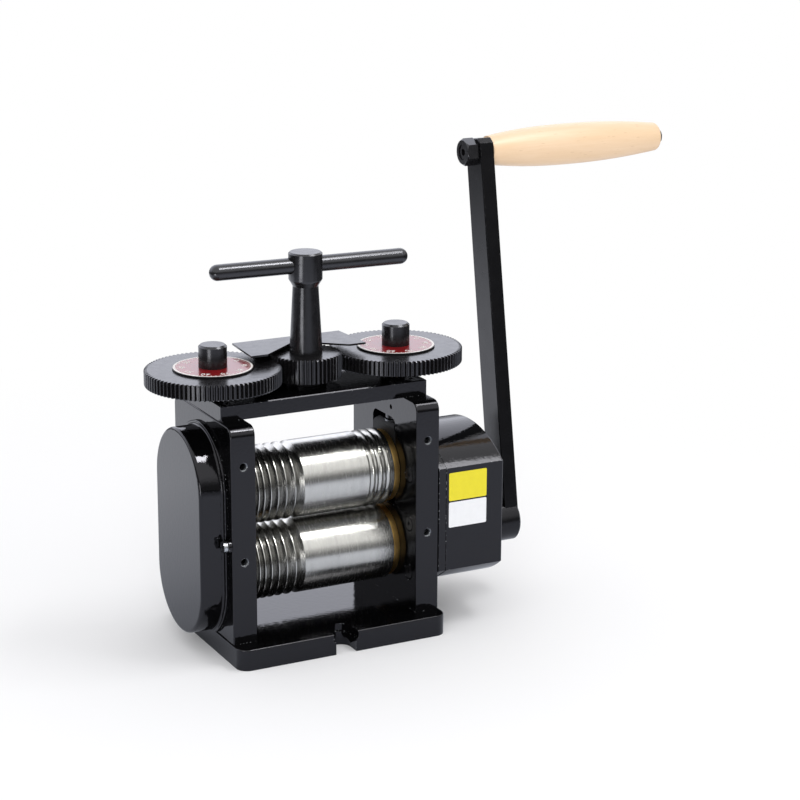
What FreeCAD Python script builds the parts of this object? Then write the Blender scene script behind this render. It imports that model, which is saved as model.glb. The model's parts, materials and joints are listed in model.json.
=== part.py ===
import FreeCAD, Part
import math
import os
import re
import Sketcher

# Hand-cranked jeweller's rolling mill.
# X runs along the rollers with the crank at +X, Y runs to the back and Z runs up.
# The origin is the centre of the base plate's underside. All sizes are millimetres.

# Driving sizes. Each one is written once, here.
SIZES = {
    # base plate and its bench slots
    "base_side_margin": 0.55,
    "base_end_margin": 9.5,
    "base_thickness": 10.7,
    "base_corner_round": 6.0,
    "base_edge_round": 0.7,
    "bench_slot_width": 11.0,
    "bench_slot_length": 12.2,
    "bench_recess_width": 13.4,
    "bench_recess_depth": 4.0,
    # side frames
    "frame_thickness": 12.7,
    "frame_depth": 71.0,
    "frame_bridge": 13.7,
    "frame_round": 5.0,
    "frame_edge_round": 0.7,
    "window_headroom": 1.1,
    "window_foot_room": 5.0,
    "window_corner": 4.0,
    "accessory_hole_radius": 2.1,
    "accessory_hole_depth": 5.0,
    "accessory_hole_drop": 19.5,
    "accessory_hole_spacing": 48.0,
    "lock_hole_radius": 1.25,
    "lock_hole_depth": 3.0,
    "lock_hole_offset": 7.5,
    "lock_hole_drop": 8.6,
    # top plate
    "top_plate_inset": 0.55,
    "top_plate_depth": 45.4,
    "top_plate_thickness": 7.8,
    "top_plate_edge": 0.4,
    "plate_screw_margin": 5.7,
    # rollers
    "roller_diameter": 38.8,
    "roller_length": 79.5,
    "roller_ground_room": 8.8,
    "roller_opening": 1.0,
    "least_opening": 0.1,
    "greatest_opening": 3.6,
    "roller_edge": 0.5,
    "neck_radius": 8.5,
    "groove_start": 0.9,
    "groove_land": 0.4,
    "groove_width": 1.7,
    "groove_growth": 0.45,
    "groove_count": 8.0,
    "round_groove_radius": 1.7,
    "round_groove_pitch": 4.3,
    "round_groove_margin": 1.8,
    "round_groove_count": 3.0,
    # bearings of the rollers
    "side_play": 0.25,
    "bush_radius": 10.5,
    "bush_flange": 3.25,
    "bush_flange_inset": 1.0,
    "bush_sleeve_inset": 0.2,
    "running_clearance": 0.04,
    "chock_stand_out": 0.1,
    "chock_half_width": 12.4,
    "chock_slack": 0.1,
    "chock_above_axis": 23.6,
    "chock_below_axis": 13.2,
    "chock_corner": 3.6,
    "chock_edge_across": 1.8,
    "chock_edge_down": 1.6,
    "thrust_pad_radius": 5.4,
    "thrust_pad_recess": 2.0,
    "thrust_pad_stand_out": 0.2,
    # return springs under the chocks
    "spring_offset": 8.2,
    "spring_radius": 1.85,
    "spring_wire": 0.7,
    "spring_turns": 3.5,
    "spring_pocket_radius": 2.5,
    "frame_pocket_depth": 5.0,
    "chock_pocket_depth": 3.0,
    # pressure screws with their gears and dials
    "screw_radius": 5.0,
    "screw_collar_radius": 8.0,
    "screw_collar": 2.5,
    "stud_radius": 6.95,
    "stud_height": 12.0,
    "stud_chamfer": 1.0,
    "screw_gear_rise": 5.3,
    "screw_gear_width": 7.6,
    "screw_gear_teeth": 87.0,
    "gear_tooth_chamfer": 0.5,
    "pinion_teeth": 45.0,
    "pinion_width": 12.3,
    "fine_backlash": 0.18,
    "dial_radius": 19.6,
    "dial_thickness": 0.9,
    # T-handle
    "column_shaft_radius": 6.0,
    "column_bush_radius": 8.5,
    "column_bush_flange_radius": 10.0,
    "column_bush_flange": 2.8,
    "column_base_radius": 8.15,
    "column_neck_radius": 6.35,
    "column_neck_rise": 33.7,
    "tee_hub_radius": 8.35,
    "tee_hub_cone": 3.5,
    "tee_hub_height": 13.5,
    "tee_bar_drop": 6.6,
    "tee_bar_radius": 4.0,
    "tee_bar_half_length": 48.0,
    "tee_bar_shift": 2.4,
    "tee_turn": -2.8,
    "ring_thickness": 1.0,
    "ring_groove_depth": 0.7,
    "ring_width": 2.4,
    # pointer plate above the gears
    "pointer_thickness": 1.0,
    "pointer_clearance": 0.2,
    "pointer_leg_half": 18.0,
    "pointer_leg_foot": 0.9,
    "pointer_over_dial": 1.0,
    "pointer_tip_width": 9.0,
    "pointer_arm_taper": 1.7,
    "pointer_tip_reach": 3.8,
    "pointer_notch": 14.0,
    "pointer_screw_offset": 11.0,
    "pointer_screw_length": 6.0,
    "pointer_screw_head_radius": 2.6,
    "pointer_screw_head": 2.0,
    # gears between the rollers
    "roller_gear_teeth": 10.0,
    "roller_gear_width": 7.4,
    "roller_gear_gap": 2.25,
    "roller_gear_backlash": 0.6,
    "roller_gear_addendum": 0.93,
    # cover over the roller gears
    "cover_length": 13.4,
    "cover_gear_room": 3.43,
    "cover_below_axis": 1.9,
    "cover_above_axis": 5.2,
    "cover_wall": 2.0,
    "cover_edge_round": 1.7,
    "cover_flange": 1.6,
    "cover_lip": 2.0,
    "cover_lip_round": 0.6,
    "cover_bend_round": 1.1,
    "cover_foot_clearance": 0.2,
    "cover_ear_radius": 3.6,
    "cover_ear_reach": 1.7,
    "cover_screw_head_radius": 2.8,
    "cover_screw_head": 2.2,
    # gearbox
    "back_plate_thickness": 4.0,
    "gearbox_length": 32.45,
    "gearbox_overhang": 0.7,
    "gearbox_arch": 12.8,
    "gearbox_crown_room": 0.57,
    "gearbox_foot_room": 1.82,
    "gearbox_wall": 2.2,
    "gearbox_edge_round": 1.0,
    "gearbox_boss_radius": 15.0,
    "gearbox_boss_length": 8.5,
    "gearbox_boss_size": 5.0,
    "gearbox_boss_depth": 12.0,
    "gearbox_screw_radius": 2.0,
    "gearbox_screw_head": 3.9,
    "gearbox_screw_inset": 8.7,
    "gearbox_screw_drop": 2.0,
    "gearbox_screw_pitch": 25.6,
    "reduction_module": 1.5,
    "reduction_backlash": 0.15,
    "crank_pinion_teeth": 12.0,
    "layshaft_gear_teeth": 30.0,
    "output_gear_teeth": 21.0,
    "output_gear_width": 8.0,
    "output_gear_gap": 2.55,
    "gear_spacing": 6.0,
    "input_gear_width": 7.5,
    "layshaft_radius": 6.0,
    "layshaft_collar_radius": 8.0,
    "layshaft_boss_radius": 10.0,
    "layshaft_boss_length": 4.1,
    "back_plate_boss_radius": 9.0,
    "back_plate_boss_length": 2.0,
    "neck_way_clearance": 1.2,
    # crank
    "crank_standoff": 18.0,
    "crank_shaft_radius": 7.0,
    "crank_pilot_radius": 4.0,
    "pilot_depth": 8.0,
    "crank_bush_radius": 9.5,
    "crank_hub_radius": 11.2,
    "crank_hub_length": 16.9,
    "crank_hub_chamfer": 0.9,
    "crank_arm_thickness": 8.0,
    "crank_arm_low_half": 8.7,
    "crank_arm_high_half": 7.8,
    "crank_radius": 193.0,
    "crank_arm_end": 6.6,
    "crank_arm_corner": 2.6,
    "crank_arm_edge": 0.7,
    "grub_screw_length": 4.0,
    "grub_screw_socket": 2.4,
    "grub_screw_inset": 4.4,
    "crank_lean": 9.45,
    "handle_bolt_radius": 4.0,
    "handle_bolt_head_radius": 5.0,
    "handle_bolt_head": 2.0,
    "handle_bolt_taper": 1.2,
    "handle_bolt_socket": 4.0,
    "handle_bolt_recess": 0.5,
    "handle_bolt_drive": 3.4,
    "handle_nut_width": 12.4,
    "handle_nut_height": 6.4,
    "grip_length": 102.8,
    "grip_end_play": 0.3,
    "grip_end_radius": 7.5,
    "grip_swell_radius": 10.7,
    "grip_end_round": 1.6,
    # fasteners
    "large_screw_radius": 3.0,
    "medium_screw_radius": 2.5,
    "small_screw_radius": 1.5,
    "thread_clearance": 0.02,
    "fastener_fit": 0.2,
    "head_fit": 0.2,
    "gearbox_head_fit": 0.7,
    "key_width": 3.0,
    "key_height": 2.4,
    "base_screw_inset": 0.7,
    "base_screw_head": 6.0,
    "base_screw_length": 18.0,
    "plate_screw_head": 5.0,
    "plate_screw_length": 14.0,
    "plate_screw_inset": 0.2,
    "cover_screw_length": 6.0,
}

# Places that follow from the driving sizes, in the order in which they build up.
PLACES = {
    "frame_inner": "roller_length / 2 + side_play + bush_flange",
    "frame_outer": "frame_inner + frame_thickness",
    "screw_centre": "frame_inner + frame_thickness / 2",
    "base_width": "2 * (frame_outer + base_side_margin)",
    "base_depth": "frame_depth + 2 * base_end_margin",
    "roller_radius": "roller_diameter / 2",
    "bush_flange_radius": "roller_radius - bush_flange_inset",
    "roller_axis": "base_thickness + roller_ground_room + roller_radius",
    "upper_axis": "roller_axis + roller_diameter + roller_opening",
    "rise_most": "greatest_opening - roller_opening",
    "flange_face": "roller_length / 2 + side_play",
    "chock_inner": "frame_inner - chock_stand_out",
    "chock_thickness": "frame_thickness - 2 * chock_stand_out",
    "chock_top": "upper_axis + chock_above_axis",
    "chock_bottom": "upper_axis - chock_below_axis",
    "pad_top": "chock_top + thrust_pad_stand_out",
    "window_half": "chock_half_width + chock_slack",
    "window_floor": "chock_bottom - window_foot_room",
    "window_ceiling": "chock_top + rise_most + window_headroom",
    "frame_top": "window_ceiling + frame_bridge",
    "accessory_high": "frame_top - accessory_hole_drop",
    "accessory_low": "accessory_high - accessory_hole_spacing",
    "plate_top": "frame_top + top_plate_thickness",
    "plate_back": "top_plate_depth / 2",
    "plate_screw_offset": "plate_back - plate_screw_margin",
    "foot_screw_offset": "frame_depth / 3",
    "gear_bottom": "plate_top + screw_gear_rise",
    "gear_top": "gear_bottom + screw_gear_width",
    "stud_top": "gear_top + stud_height",
    "pinion_bottom": "plate_top + column_bush_flange",
    "pinion_top": "pinion_bottom + pinion_width",
    "neck_height": "pinion_top + column_neck_rise",
    "hub_bottom": "neck_height + tee_hub_cone",
    "hub_top": "hub_bottom + tee_hub_height",
    "bar_height": "hub_top - tee_bar_drop",
    "column_bottom": "frame_top - 3.7",
    "fine_module": "2 * screw_centre / (screw_gear_teeth + pinion_teeth)",
    "pointer_bottom": "gear_top + dial_thickness + rise_most + pointer_clearance",
    "pointer_top": "pointer_bottom + pointer_thickness",
    "pointer_tip_half": "screw_centre - dial_radius + pointer_over_dial",
    "pointer_screw_height": "frame_top + top_plate_thickness / 2",
    "roller_gear_module": "(roller_diameter + least_opening) / roller_gear_teeth",
    "roller_gear_tip": "roller_gear_module * (roller_gear_teeth / 2 + roller_gear_addendum)",
    "roller_gear_start": "frame_outer + roller_gear_gap",
    "roller_gear_end": "roller_gear_start + roller_gear_width",
    "gear_seat": "neck_radius - 0.5",
    "left_neck_end": "roller_gear_end + ring_thickness + 0.35",
    "cover_radius": "roller_gear_tip + cover_gear_room + cover_wall",
    "cover_flange_radius": "cover_radius + cover_lip",
    "cover_low_centre": "roller_axis - cover_below_axis",
    "cover_high_centre": "upper_axis + cover_above_axis",
    "cover_screw_offset": "cover_flange_radius + cover_ear_reach",
    "cover_screw_height": "(cover_low_centre + cover_high_centre) / 2",
    "gearbox_back": "frame_outer + back_plate_thickness",
    "gearbox_end": "gearbox_back + gearbox_length",
    "boss_end": "gearbox_end + gearbox_boss_length",
    "layshaft_axis": "roller_axis + reduction_module * (crank_pinion_teeth + layshaft_gear_teeth) / 2",
    "layshaft_gear_tip": "reduction_module * (layshaft_gear_teeth / 2 + 0.95)",
    "gearbox_crown": "layshaft_axis + layshaft_gear_tip + gearbox_crown_room + gearbox_wall",
    "output_gear_tip": "reduction_module * (output_gear_teeth / 2 + 0.95)",
    "gearbox_foot": "roller_axis - output_gear_tip - gearbox_foot_room - gearbox_wall",
    "gearbox_middle": "(gearbox_crown + gearbox_foot) / 2",
    "gearbox_half_height": "(gearbox_crown - gearbox_foot) / 2",
    "gearbox_side_half": "gearbox_half_height - gearbox_arch",
    "gearbox_half_depth": "frame_depth / 2 + gearbox_overhang",
    "gearbox_screw_offset": "gearbox_half_depth - gearbox_screw_inset",
    "gearbox_screw_low": "gearbox_middle - gearbox_screw_drop - gearbox_screw_pitch",
    "output_gear_start": "gearbox_back + output_gear_gap",
    "output_gear_end": "output_gear_start + output_gear_width",
    "input_gear_start": "output_gear_end + gear_spacing",
    "input_gear_end": "input_gear_start + input_gear_width",
    "right_neck_end": "output_gear_end + 3",
    "layshaft_start": "frame_outer + 0.5",
    "layshaft_end": "gearbox_end - gearbox_wall - 0.4",
    "layshaft_bush_radius": "layshaft_radius + 2",
    "arm_inner": "gearbox_end + crank_standoff",
    "arm_outer": "arm_inner + crank_arm_thickness",
    "hub_start": "arm_outer - crank_hub_length",
    "grip_start": "arm_outer + grip_end_play",
    "grip_end": "grip_start + grip_length",
    "bolt_seat": "grip_end + grip_end_play",
    "nut_start": "arm_inner - handle_nut_height",
    "key_reach": "key_height / 2",
    "gearbox_screw_bore": "gearbox_screw_radius + fastener_fit",
    "gearbox_head_radius": "gearbox_screw_radius * 1.75",
    "gearbox_thread": "gearbox_screw_radius + thread_clearance",
    "large_screw_bore": "large_screw_radius + fastener_fit",
    "large_head_radius": "large_screw_radius * 1.65",
    "large_thread": "large_screw_radius + thread_clearance",
    "medium_screw_bore": "medium_screw_radius + fastener_fit",
    "medium_head_radius": "medium_screw_radius * 1.65",
    "medium_thread": "medium_screw_radius + thread_clearance",
    "small_screw_bore": "small_screw_radius + fastener_fit",
    "small_thread": "small_screw_radius + thread_clearance",
}

TURN_TO_X = FreeCAD.Rotation(FreeCAD.Vector(0, 1, 0), 90)
TURN_TO_Y = FreeCAD.Rotation(FreeCAD.Vector(1, 0, 0), -90)
TURNS = {"X": TURN_TO_X, "Y": TURN_TO_Y, "Z": FreeCAD.Rotation()}
START_RING = 50.0
FINE_PRESSURE_ANGLE = math.radians(20)
COARSE_PRESSURE_ANGLE = math.radians(25)
DOME_STEPS = 6
SLENDER_SIDES = 6

doc = FreeCAD.newDocument("rolling_mill")
sizes = doc.addObject("Spreadsheet::Sheet", "sizes")
places = doc.addObject("Spreadsheet::Sheet", "places")
sheet_of = {}
subparts = []


def full(expression):
    """Put the sheet's name before each size or place that an expression uses."""
    def qualify(word):
        name = word.group()
        return sheet_of[name] + "." + name if name in sheet_of else name
    return re.sub(r"[a-z_]{3,}", qualify, expression)


def fill_sheets():
    for row, (name, number) in enumerate(SIZES.items(), 1):
        sizes.set(f"A{row}", name)
        sizes.set(f"B{row}", str(number))
        sizes.setAlias(f"B{row}", name)
        sheet_of[name] = "sizes"
    doc.recompute()
    for row, (name, formula) in enumerate(PLACES.items(), 1):
        places.set(f"A{row}", name)
        places.set(f"B{row}", "=" + full(formula))
        places.setAlias(f"B{row}", name)
        sheet_of[name] = "places"
        doc.recompute()


def number(name):
    """The present value of one named size or place."""
    sheet = sizes if sheet_of[name] == "sizes" else places
    return float(sheet.get(name))


def bind(item, **expressions):
    for path, expression in expressions.items():
        item.setExpression(path, full(expression))


def put(item, x="0", y="0", z="0", along="Z"):
    """Place an item with its own Z axis along X, Y or Z."""
    item.Placement = FreeCAD.Placement(FreeCAD.Vector(), TURNS[along])
    for axis, expression in (("x", x), ("y", y), ("z", z)):
        item.setExpression(f"Placement.Base.{axis}", full(expression))
    return item


def cylinder(name, radius, height, x="0", y="0", z="0", along="Z"):
    item = doc.addObject("Part::Cylinder", name)
    bind(item, Radius=radius, Height=height)
    return put(item, x, y, z, along)


def cone(name, low_radius, high_radius, height, x="0", y="0", z="0", along="Z"):
    item = doc.addObject("Part::Cone", name)
    bind(item, Radius1=low_radius, Radius2=high_radius, Height=height)
    return put(item, x, y, z, along)


def block(name, length, width, height, x="0", y="0", z="0"):
    item = doc.addObject("Part::Box", name)
    bind(item, Length=length, Width=width, Height=height)
    return put(item, x, y, z)


def hexagon(name, across_flats, height, x="0", y="0", z="0", along="Z"):
    item = doc.addObject("Part::Prism", name)
    item.Polygon = 6
    bind(item, Circumradius=f"({across_flats}) / sqrt(3)", Height=height)
    return put(item, x, y, z, along)


def fuse(name, pieces):
    item = doc.addObject("Part::MultiFuse", name)
    item.Shapes = pieces
    item.Refine = True
    return item


def cut(name, base, tools):
    tool = tools[0]
    if len(tools) > 1:
        tool = doc.addObject("Part::Compound", name + "_tools")
        tool.Links = tools
    item = doc.addObject("Part::Cut", name)
    item.Base = base
    item.Tool = tool
    item.Refine = True
    return item


def group(name, pieces):
    item = doc.addObject("Part::Compound", name)
    item.Links = pieces
    return item


def subpart(item, label):
    item.Label = label
    subparts.append(item)
    return item


def origin_plane(body, role):
    return [feature for feature in body.Origin.OriginFeatures if feature.Role == role][0]


def outline(body, name, role, corners):
    """A closed outline whose corners are pairs of expressions on one of the body's own planes."""
    sketch = body.newObject("Sketcher::SketchObject", name)
    sketch.AttachmentSupport = (origin_plane(body, role), [""])
    sketch.MapMode = "FlatFace"
    count = len(corners)
    ring = [2 * math.pi * k / count for k in range(count)]
    start = [FreeCAD.Vector(START_RING * math.cos(turn), START_RING * math.sin(turn), 0) for turn in ring]
    lines = [Part.LineSegment(start[k], start[(k + 1) % count]) for k in range(count)]
    sketch.addGeometry(lines, False)
    for k, (across, up) in enumerate(corners):
        sketch.addConstraint(Sketcher.Constraint("Coincident", k, 2, (k + 1) % count, 1))
        for kind, place, expression in (("DistanceX", start[k].x, across), ("DistanceY", start[k].y, up)):
            index = sketch.addConstraint(Sketcher.Constraint(kind, -1, 1, k, 1, place))
            sketch.setExpression(f"Constraints[{index}]", full(expression))
    return sketch


def new_body(name):
    return doc.addObject("PartDesign::Body", name)


def pad(body, sketch, name, length, turned=False):
    feature = body.newObject("PartDesign::Pad", name)
    feature.Profile = sketch
    feature.Reversed = turned
    bind(feature, Length=length)
    doc.recompute()
    return feature


def pocket(body, sketch, name, length, turned=True):
    before = body.Tip.Shape.Volume
    feature = body.newObject("PartDesign::Pocket", name)
    feature.Profile = sketch
    feature.Reversed = turned
    bind(feature, Length=length)
    doc.recompute()
    if feature.Shape.Volume > before - 1e-6:
        raise RuntimeError(name + " cuts nothing")
    return feature


def revolve(body, sketch, name, axis="H_Axis"):
    feature = body.newObject("PartDesign::Revolution", name)
    feature.Profile = sketch
    feature.ReferenceAxis = (sketch, [axis])
    feature.Angle = 360
    doc.recompute()
    return feature


def edges_where(shape, test):
    return [f"Edge{k}" for k, edge in enumerate(shape.Edges, 1) if test(edge)]


def round_edges(body, feature, name, radius, test, kind="Fillet"):
    item = body.newObject("PartDesign::" + kind, name)
    item.Base = (feature, edges_where(feature.Shape, test))
    path = "Radius" if kind == "Fillet" else "Size"
    item.setExpression(path, full(radius))
    doc.recompute()
    return item


def runs_along(edge, axis):
    """True where a straight edge runs along the X (0), Y (1) or Z (2) axis."""
    if edge.Curve.TypeId != "Part::GeomLine":
        return False
    return abs(edge.Curve.Direction[axis]) > 0.999


def turned_body(name, corners, along="X"):
    """A body of revolution about X (corners are x, radius) or Z (corners are radius, z)."""
    body = new_body(name)
    sketch = outline(body, name + "_profile", "XZ_Plane", corners)
    revolve(body, sketch, name + "_turned", "H_Axis" if along == "X" else "V_Axis")
    return body


# ---------------------------------------------------------------- gears and springs


def involute(angle):
    return math.tan(angle) - angle


def gear_wire(teeth, module, pressure, tip, root, thinning, flank_steps, phase):
    """The outline of a spur gear with straight-stepped involute flanks, round the origin."""
    pitch_radius = module * teeth / 2
    base_radius = pitch_radius * math.cos(pressure)
    half_at_base = (math.pi * module / 2 - thinning) / (2 * pitch_radius) + involute(pressure)

    def half_angle(radius):
        if radius <= base_radius:
            return half_at_base
        return half_at_base - involute(math.acos(base_radius / radius))

    foot = max(base_radius, root + 0.1 * module)
    span = [foot + (tip - foot) * k / (flank_steps - 1) for k in range(flank_steps)]
    radii = [root] + span if flank_steps > 2 else [root, tip]
    points = []
    for k in range(int(teeth)):
        middle = phase + 2 * math.pi * k / teeth
        flank = [(radius, middle - half_angle(radius)) for radius in radii]
        flank += [(radius, middle + half_angle(radius)) for radius in reversed(radii)]
        points += [FreeCAD.Vector(r * math.cos(turn), r * math.sin(turn), 0) for r, turn in flank]
    return Part.makePolygon(points + [points[0]])


def spur_gear(wire, width, bore, key_reach=0.0):
    solid = Part.Face(wire).extrude(FreeCAD.Vector(0, 0, width))
    if bore:
        solid = solid.cut(Part.makeCylinder(bore, width))
    if key_reach:
        half = number("key_width") / 2
        corner = FreeCAD.Vector(0, -half, 0)
        solid = solid.cut(Part.makeBox(bore + key_reach, 2 * half, width, corner))
    return solid


def shaped(name, shape, x=0.0, y=0.0, z=0.0, along="Z"):
    item = doc.addObject("Part::Feature", name)
    item.Shape = shape
    item.Placement = FreeCAD.Placement(FreeCAD.Vector(x, y, z), TURNS[along])
    return item


def fine_gear(teeth_name, width_name, bore):
    module = number("fine_module")
    teeth = number(teeth_name)
    tip = module * (teeth / 2 + 0.95)
    root = module * (teeth / 2 - 1.25)
    wire = gear_wire(teeth, module, FINE_PRESSURE_ANGLE, tip, root, number("fine_backlash"), 2, 0.0)
    width = number(width_name)
    blank = Part.makeCylinder(tip, width)
    rims = [edge for edge in blank.Edges if edge.BoundBox.ZLength < 0.01]
    blank = blank.makeChamfer(number("gear_tooth_chamfer"), rims)
    return spur_gear(wire, width, bore, number("key_reach")).common(blank)


def reduction_gear(teeth_name, width_name, bore, facing_up, key_reach=0.0):
    module = number("reduction_module")
    teeth = number(teeth_name)
    tip = module * (teeth / 2 + 0.95)
    root = module * (teeth / 2 - 1.2)
    phase = math.pi if facing_up else math.pi / teeth
    backlash = number("reduction_backlash")
    wire = gear_wire(teeth, module, COARSE_PRESSURE_ANGLE, tip, root, backlash, 3, phase)
    return spur_gear(wire, number(width_name), bore, key_reach)


def roller_gear(facing_up):
    """Long slender teeth, which stay in mesh while the upper roller rises and falls."""
    module = number("roller_gear_module")
    teeth = number("roller_gear_teeth")
    tip = number("roller_gear_tip")
    root = module * teeth - tip - 0.3
    phase = math.pi if facing_up else math.pi / teeth
    backlash = number("roller_gear_backlash")
    wire = gear_wire(teeth, module, FINE_PRESSURE_ANGLE, tip, root, backlash, 4, phase)
    return spur_gear(wire, number("roller_gear_width"), number("gear_seat"), number("key_reach"))


def spring_shape(length):
    """A compression spring of rectangular wire, standing on the origin."""
    wire_size = number("spring_wire")
    radius = number("spring_radius")
    rise = length - wire_size
    helix = Part.makeHelix(rise / number("spring_turns"), rise, radius)
    half = wire_size / 2
    corners = [(-half, 0), (half, 0), (half, wire_size), (-half, wire_size)]
    points = [FreeCAD.Vector(radius + across, 0, up) for across, up in corners]
    section = Part.makePolygon(points + [points[0]])
    return Part.Wire(helix).makePipeShell([section], True, True)


# ---------------------------------------------------------------- fasteners


def cap_screw(name, radius, head_radius, head_height, length, x, y, z, along="Z", head_first=False):
    """A socket-head screw. Its head sits at the low end of its axis if head_first, else at the high end."""
    spot = {"X": x, "Y": y, "Z": z}

    def shifted(distance):
        moved = dict(spot)
        moved[along] = f"({spot[along]}) + ({distance})"
        return moved["X"], moved["Y"], moved["Z"]

    shank_at = shifted(head_height) if head_first else shifted("0")
    head_at = shifted("0") if head_first else shifted(length)
    socket_at = shifted("0") if head_first else shifted(f"({length}) + ({head_height}) * 0.4")
    shank = cylinder(name + "_shank", radius, length, *shank_at, along)
    head = cylinder(name + "_head", head_radius, head_height, *head_at, along)
    socket = hexagon(name + "_socket", f"({radius}) * 0.95", f"({head_height}) * 0.6", *socket_at, along)
    return cut(name, fuse(name + "_blank", [shank, head]), [socket])


# ---------------------------------------------------------------- base and frames


def bench_slot_tools(front):
    """The U-shaped bench slot and its wider upper recess, at the front or the back edge."""
    sign = "-" if front else ""
    name = "front" if front else "rear"
    tools = []
    for part, width, bottom in (
        ("slot", "bench_slot_width", "-1"),
        ("recess", "bench_recess_width", "base_thickness - bench_recess_depth"),
    ):
        centre = f"(base_depth / 2 - bench_slot_length + bench_slot_width / 2)"
        end = cylinder(
            f"{name}_{part}_end", f"{width} / 2", "base_thickness + 2", "0", f"{sign}{centre}", bottom)
        run = f"base_depth / 2 - {centre} + 1"
        low = f"-{centre} - ({run})" if front else centre
        way = block(f"{name}_{part}_way", width, run, "base_thickness + 2", f"-{width} / 2", low, bottom)
        tools += [end, way]
    return tools


def base_screw_places():
    return [(side, spot) for side in ("-", "") for spot in ("-foot_screw_offset", "foot_screw_offset")]


def make_base():
    body = new_body("base_blank")
    half_width = "base_width / 2"
    half_depth = "base_depth / 2"
    corners = [(f"-{half_width}", f"-{half_depth}"), (half_width, f"-{half_depth}")]
    corners += [(half_width, half_depth), (f"-{half_width}", half_depth)]
    sketch = outline(body, "base_outline", "XY_Plane", corners)
    plate = pad(body, sketch, "base_pad", "base_thickness")
    cornered = round_edges(
        body, plate, "base_corners", "base_corner_round", lambda edge: runs_along(edge, 2))
    top = number("base_thickness")
    round_edges(
        body, cornered, "base_top_edge", "base_edge_round",
        lambda edge: abs(edge.BoundBox.ZMin - top) < 0.01)
    tools = bench_slot_tools(True) + bench_slot_tools(False)
    for k, (side, spot) in enumerate(base_screw_places()):
        place = (f"{side}screw_centre", spot)
        tools.append(cylinder(f"base_bore_{k}", "large_screw_bore", "base_thickness + 2", *place, "-1"))
        tools.append(cylinder(
            f"base_counterbore_{k}", "large_head_radius + head_fit",
            "base_screw_inset + base_screw_head + 1", *place, "-1"))
    subpart(cut("base_cut", body, tools), "base_plate")


def on_frame_rim(edge, half_depth, foot, top):
    """True for the edges of a frame's two broad faces along its front, back and top, not its foot."""
    box = edge.BoundBox
    if box.XLength > 0.01 or box.ZMax < foot + 0.01:
        return False
    at_side = max(abs(box.YMin), abs(box.YMax)) > half_depth - 0.01
    return at_side or box.ZMax > top - 0.01


def make_side_frame(label, side, holes):
    """A frame plate with a bored seat for the lower bush and a window for the sliding chock."""
    body = new_body(label + "_blank")
    half = "frame_depth / 2"
    corners = [(f"-{half}", "base_thickness"), (half, "base_thickness")]
    corners += [(half, "frame_top"), (f"-{half}", "frame_top")]
    sketch = outline(body, label + "_outline", "YZ_Plane", corners)
    plate = pad(body, sketch, label + "_pad", "frame_thickness")
    top = number("frame_top")
    rounded = round_edges(
        body, plate, label + "_top_round", "frame_round",
        lambda edge: runs_along(edge, 0) and abs(edge.CenterOfMass.z - top) < 0.01)
    corners = [("-window_half", "window_floor"), ("window_half", "window_floor")]
    corners += [("window_half", "window_ceiling"), ("-window_half", "window_ceiling")]
    sketch = outline(body, label + "_window", "YZ_Plane", corners)
    window = pocket(body, sketch, label + "_window_cut", "frame_thickness")
    ceiling = number("window_ceiling")
    window = round_edges(
        body, window, label + "_window_round", "window_corner",
        lambda edge: runs_along(edge, 0) and abs(edge.CenterOfMass.z - ceiling) < 0.01)
    round_edges(
        body, window, label + "_rim", "frame_edge_round",
        lambda edge: on_frame_rim(edge, number("frame_depth") / 2, number("base_thickness"), top))
    start = "frame_inner" if side > 0 else "-frame_outer"
    bind(body, **{"Placement.Base.x": start})
    sign = "" if side > 0 else "-"
    middle = f"{sign}screw_centre"
    tools = [
        cylinder(
            label + "_bush_seat", "bush_radius", "frame_thickness + 2", f"{start} - 1", "0", "roller_axis",
            "X"),
        cylinder(
            label + "_screw_bore", "screw_radius + running_clearance", "frame_bridge + 2", middle, "0",
            "window_ceiling - 1"),
    ]
    for level in ("low", "high"):
        spot = (middle, f"-{half} - 1", f"accessory_{level}")
        tools.append(cylinder(
            f"{label}_accessory_{level}", "accessory_hole_radius", "accessory_hole_depth + 1", *spot, "Y"))
    for k, offset in enumerate(("-spring_offset", "spring_offset")):
        spot = (middle, offset, "window_floor - frame_pocket_depth")
        tools.append(cylinder(f"{label}_pocket_{k}", "spring_pocket_radius", "frame_pocket_depth + 1", *spot))
    for k, offset in enumerate(("-foot_screw_offset", "foot_screw_offset")):
        tools.append(cylinder(
            f"{label}_foot_thread_{k}", "large_thread", "base_screw_length", middle, offset,
            "base_thickness - 1"))
    for k, offset in enumerate(("-plate_screw_offset", "plate_screw_offset")):
        tools.append(cylinder(
            f"{label}_head_thread_{k}", "medium_thread", "plate_screw_length", middle, offset,
            "frame_top - plate_screw_length + 1"))
    subpart(cut(label + "_cut", body, tools + holes), label)


def make_frames():
    lock = cylinder(
        "right_lock_hole", "lock_hole_radius", "lock_hole_depth + 1",
        "frame_inner - 1", "-lock_hole_offset", "frame_top - lock_hole_drop", "X")
    left_holes = []
    for k, offset in enumerate(("-cover_screw_offset", "cover_screw_offset")):
        spot = ("-frame_outer - 1", offset, "cover_screw_height")
        left_holes.append(cylinder(f"cover_thread_{k}", "small_thread", "cover_screw_length + 2", *spot, "X"))
    right_holes = [lock]
    for k, (offset, height) in enumerate(gearbox_screw_places()):
        right_holes.append(cylinder(
            f"gearbox_bore_{k}", "gearbox_screw_bore", "frame_thickness + 2", "frame_inner - 1", offset,
            height, "X"))
        right_holes.append(cylinder(
            f"gearbox_counterbore_{k}", "gearbox_head_radius + gearbox_head_fit", "gearbox_screw_head + 1",
            "frame_inner - 1", offset, height, "X"))
    make_side_frame("left_side_frame", -1, left_holes)
    make_side_frame("right_side_frame", 1, right_holes)


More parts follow.
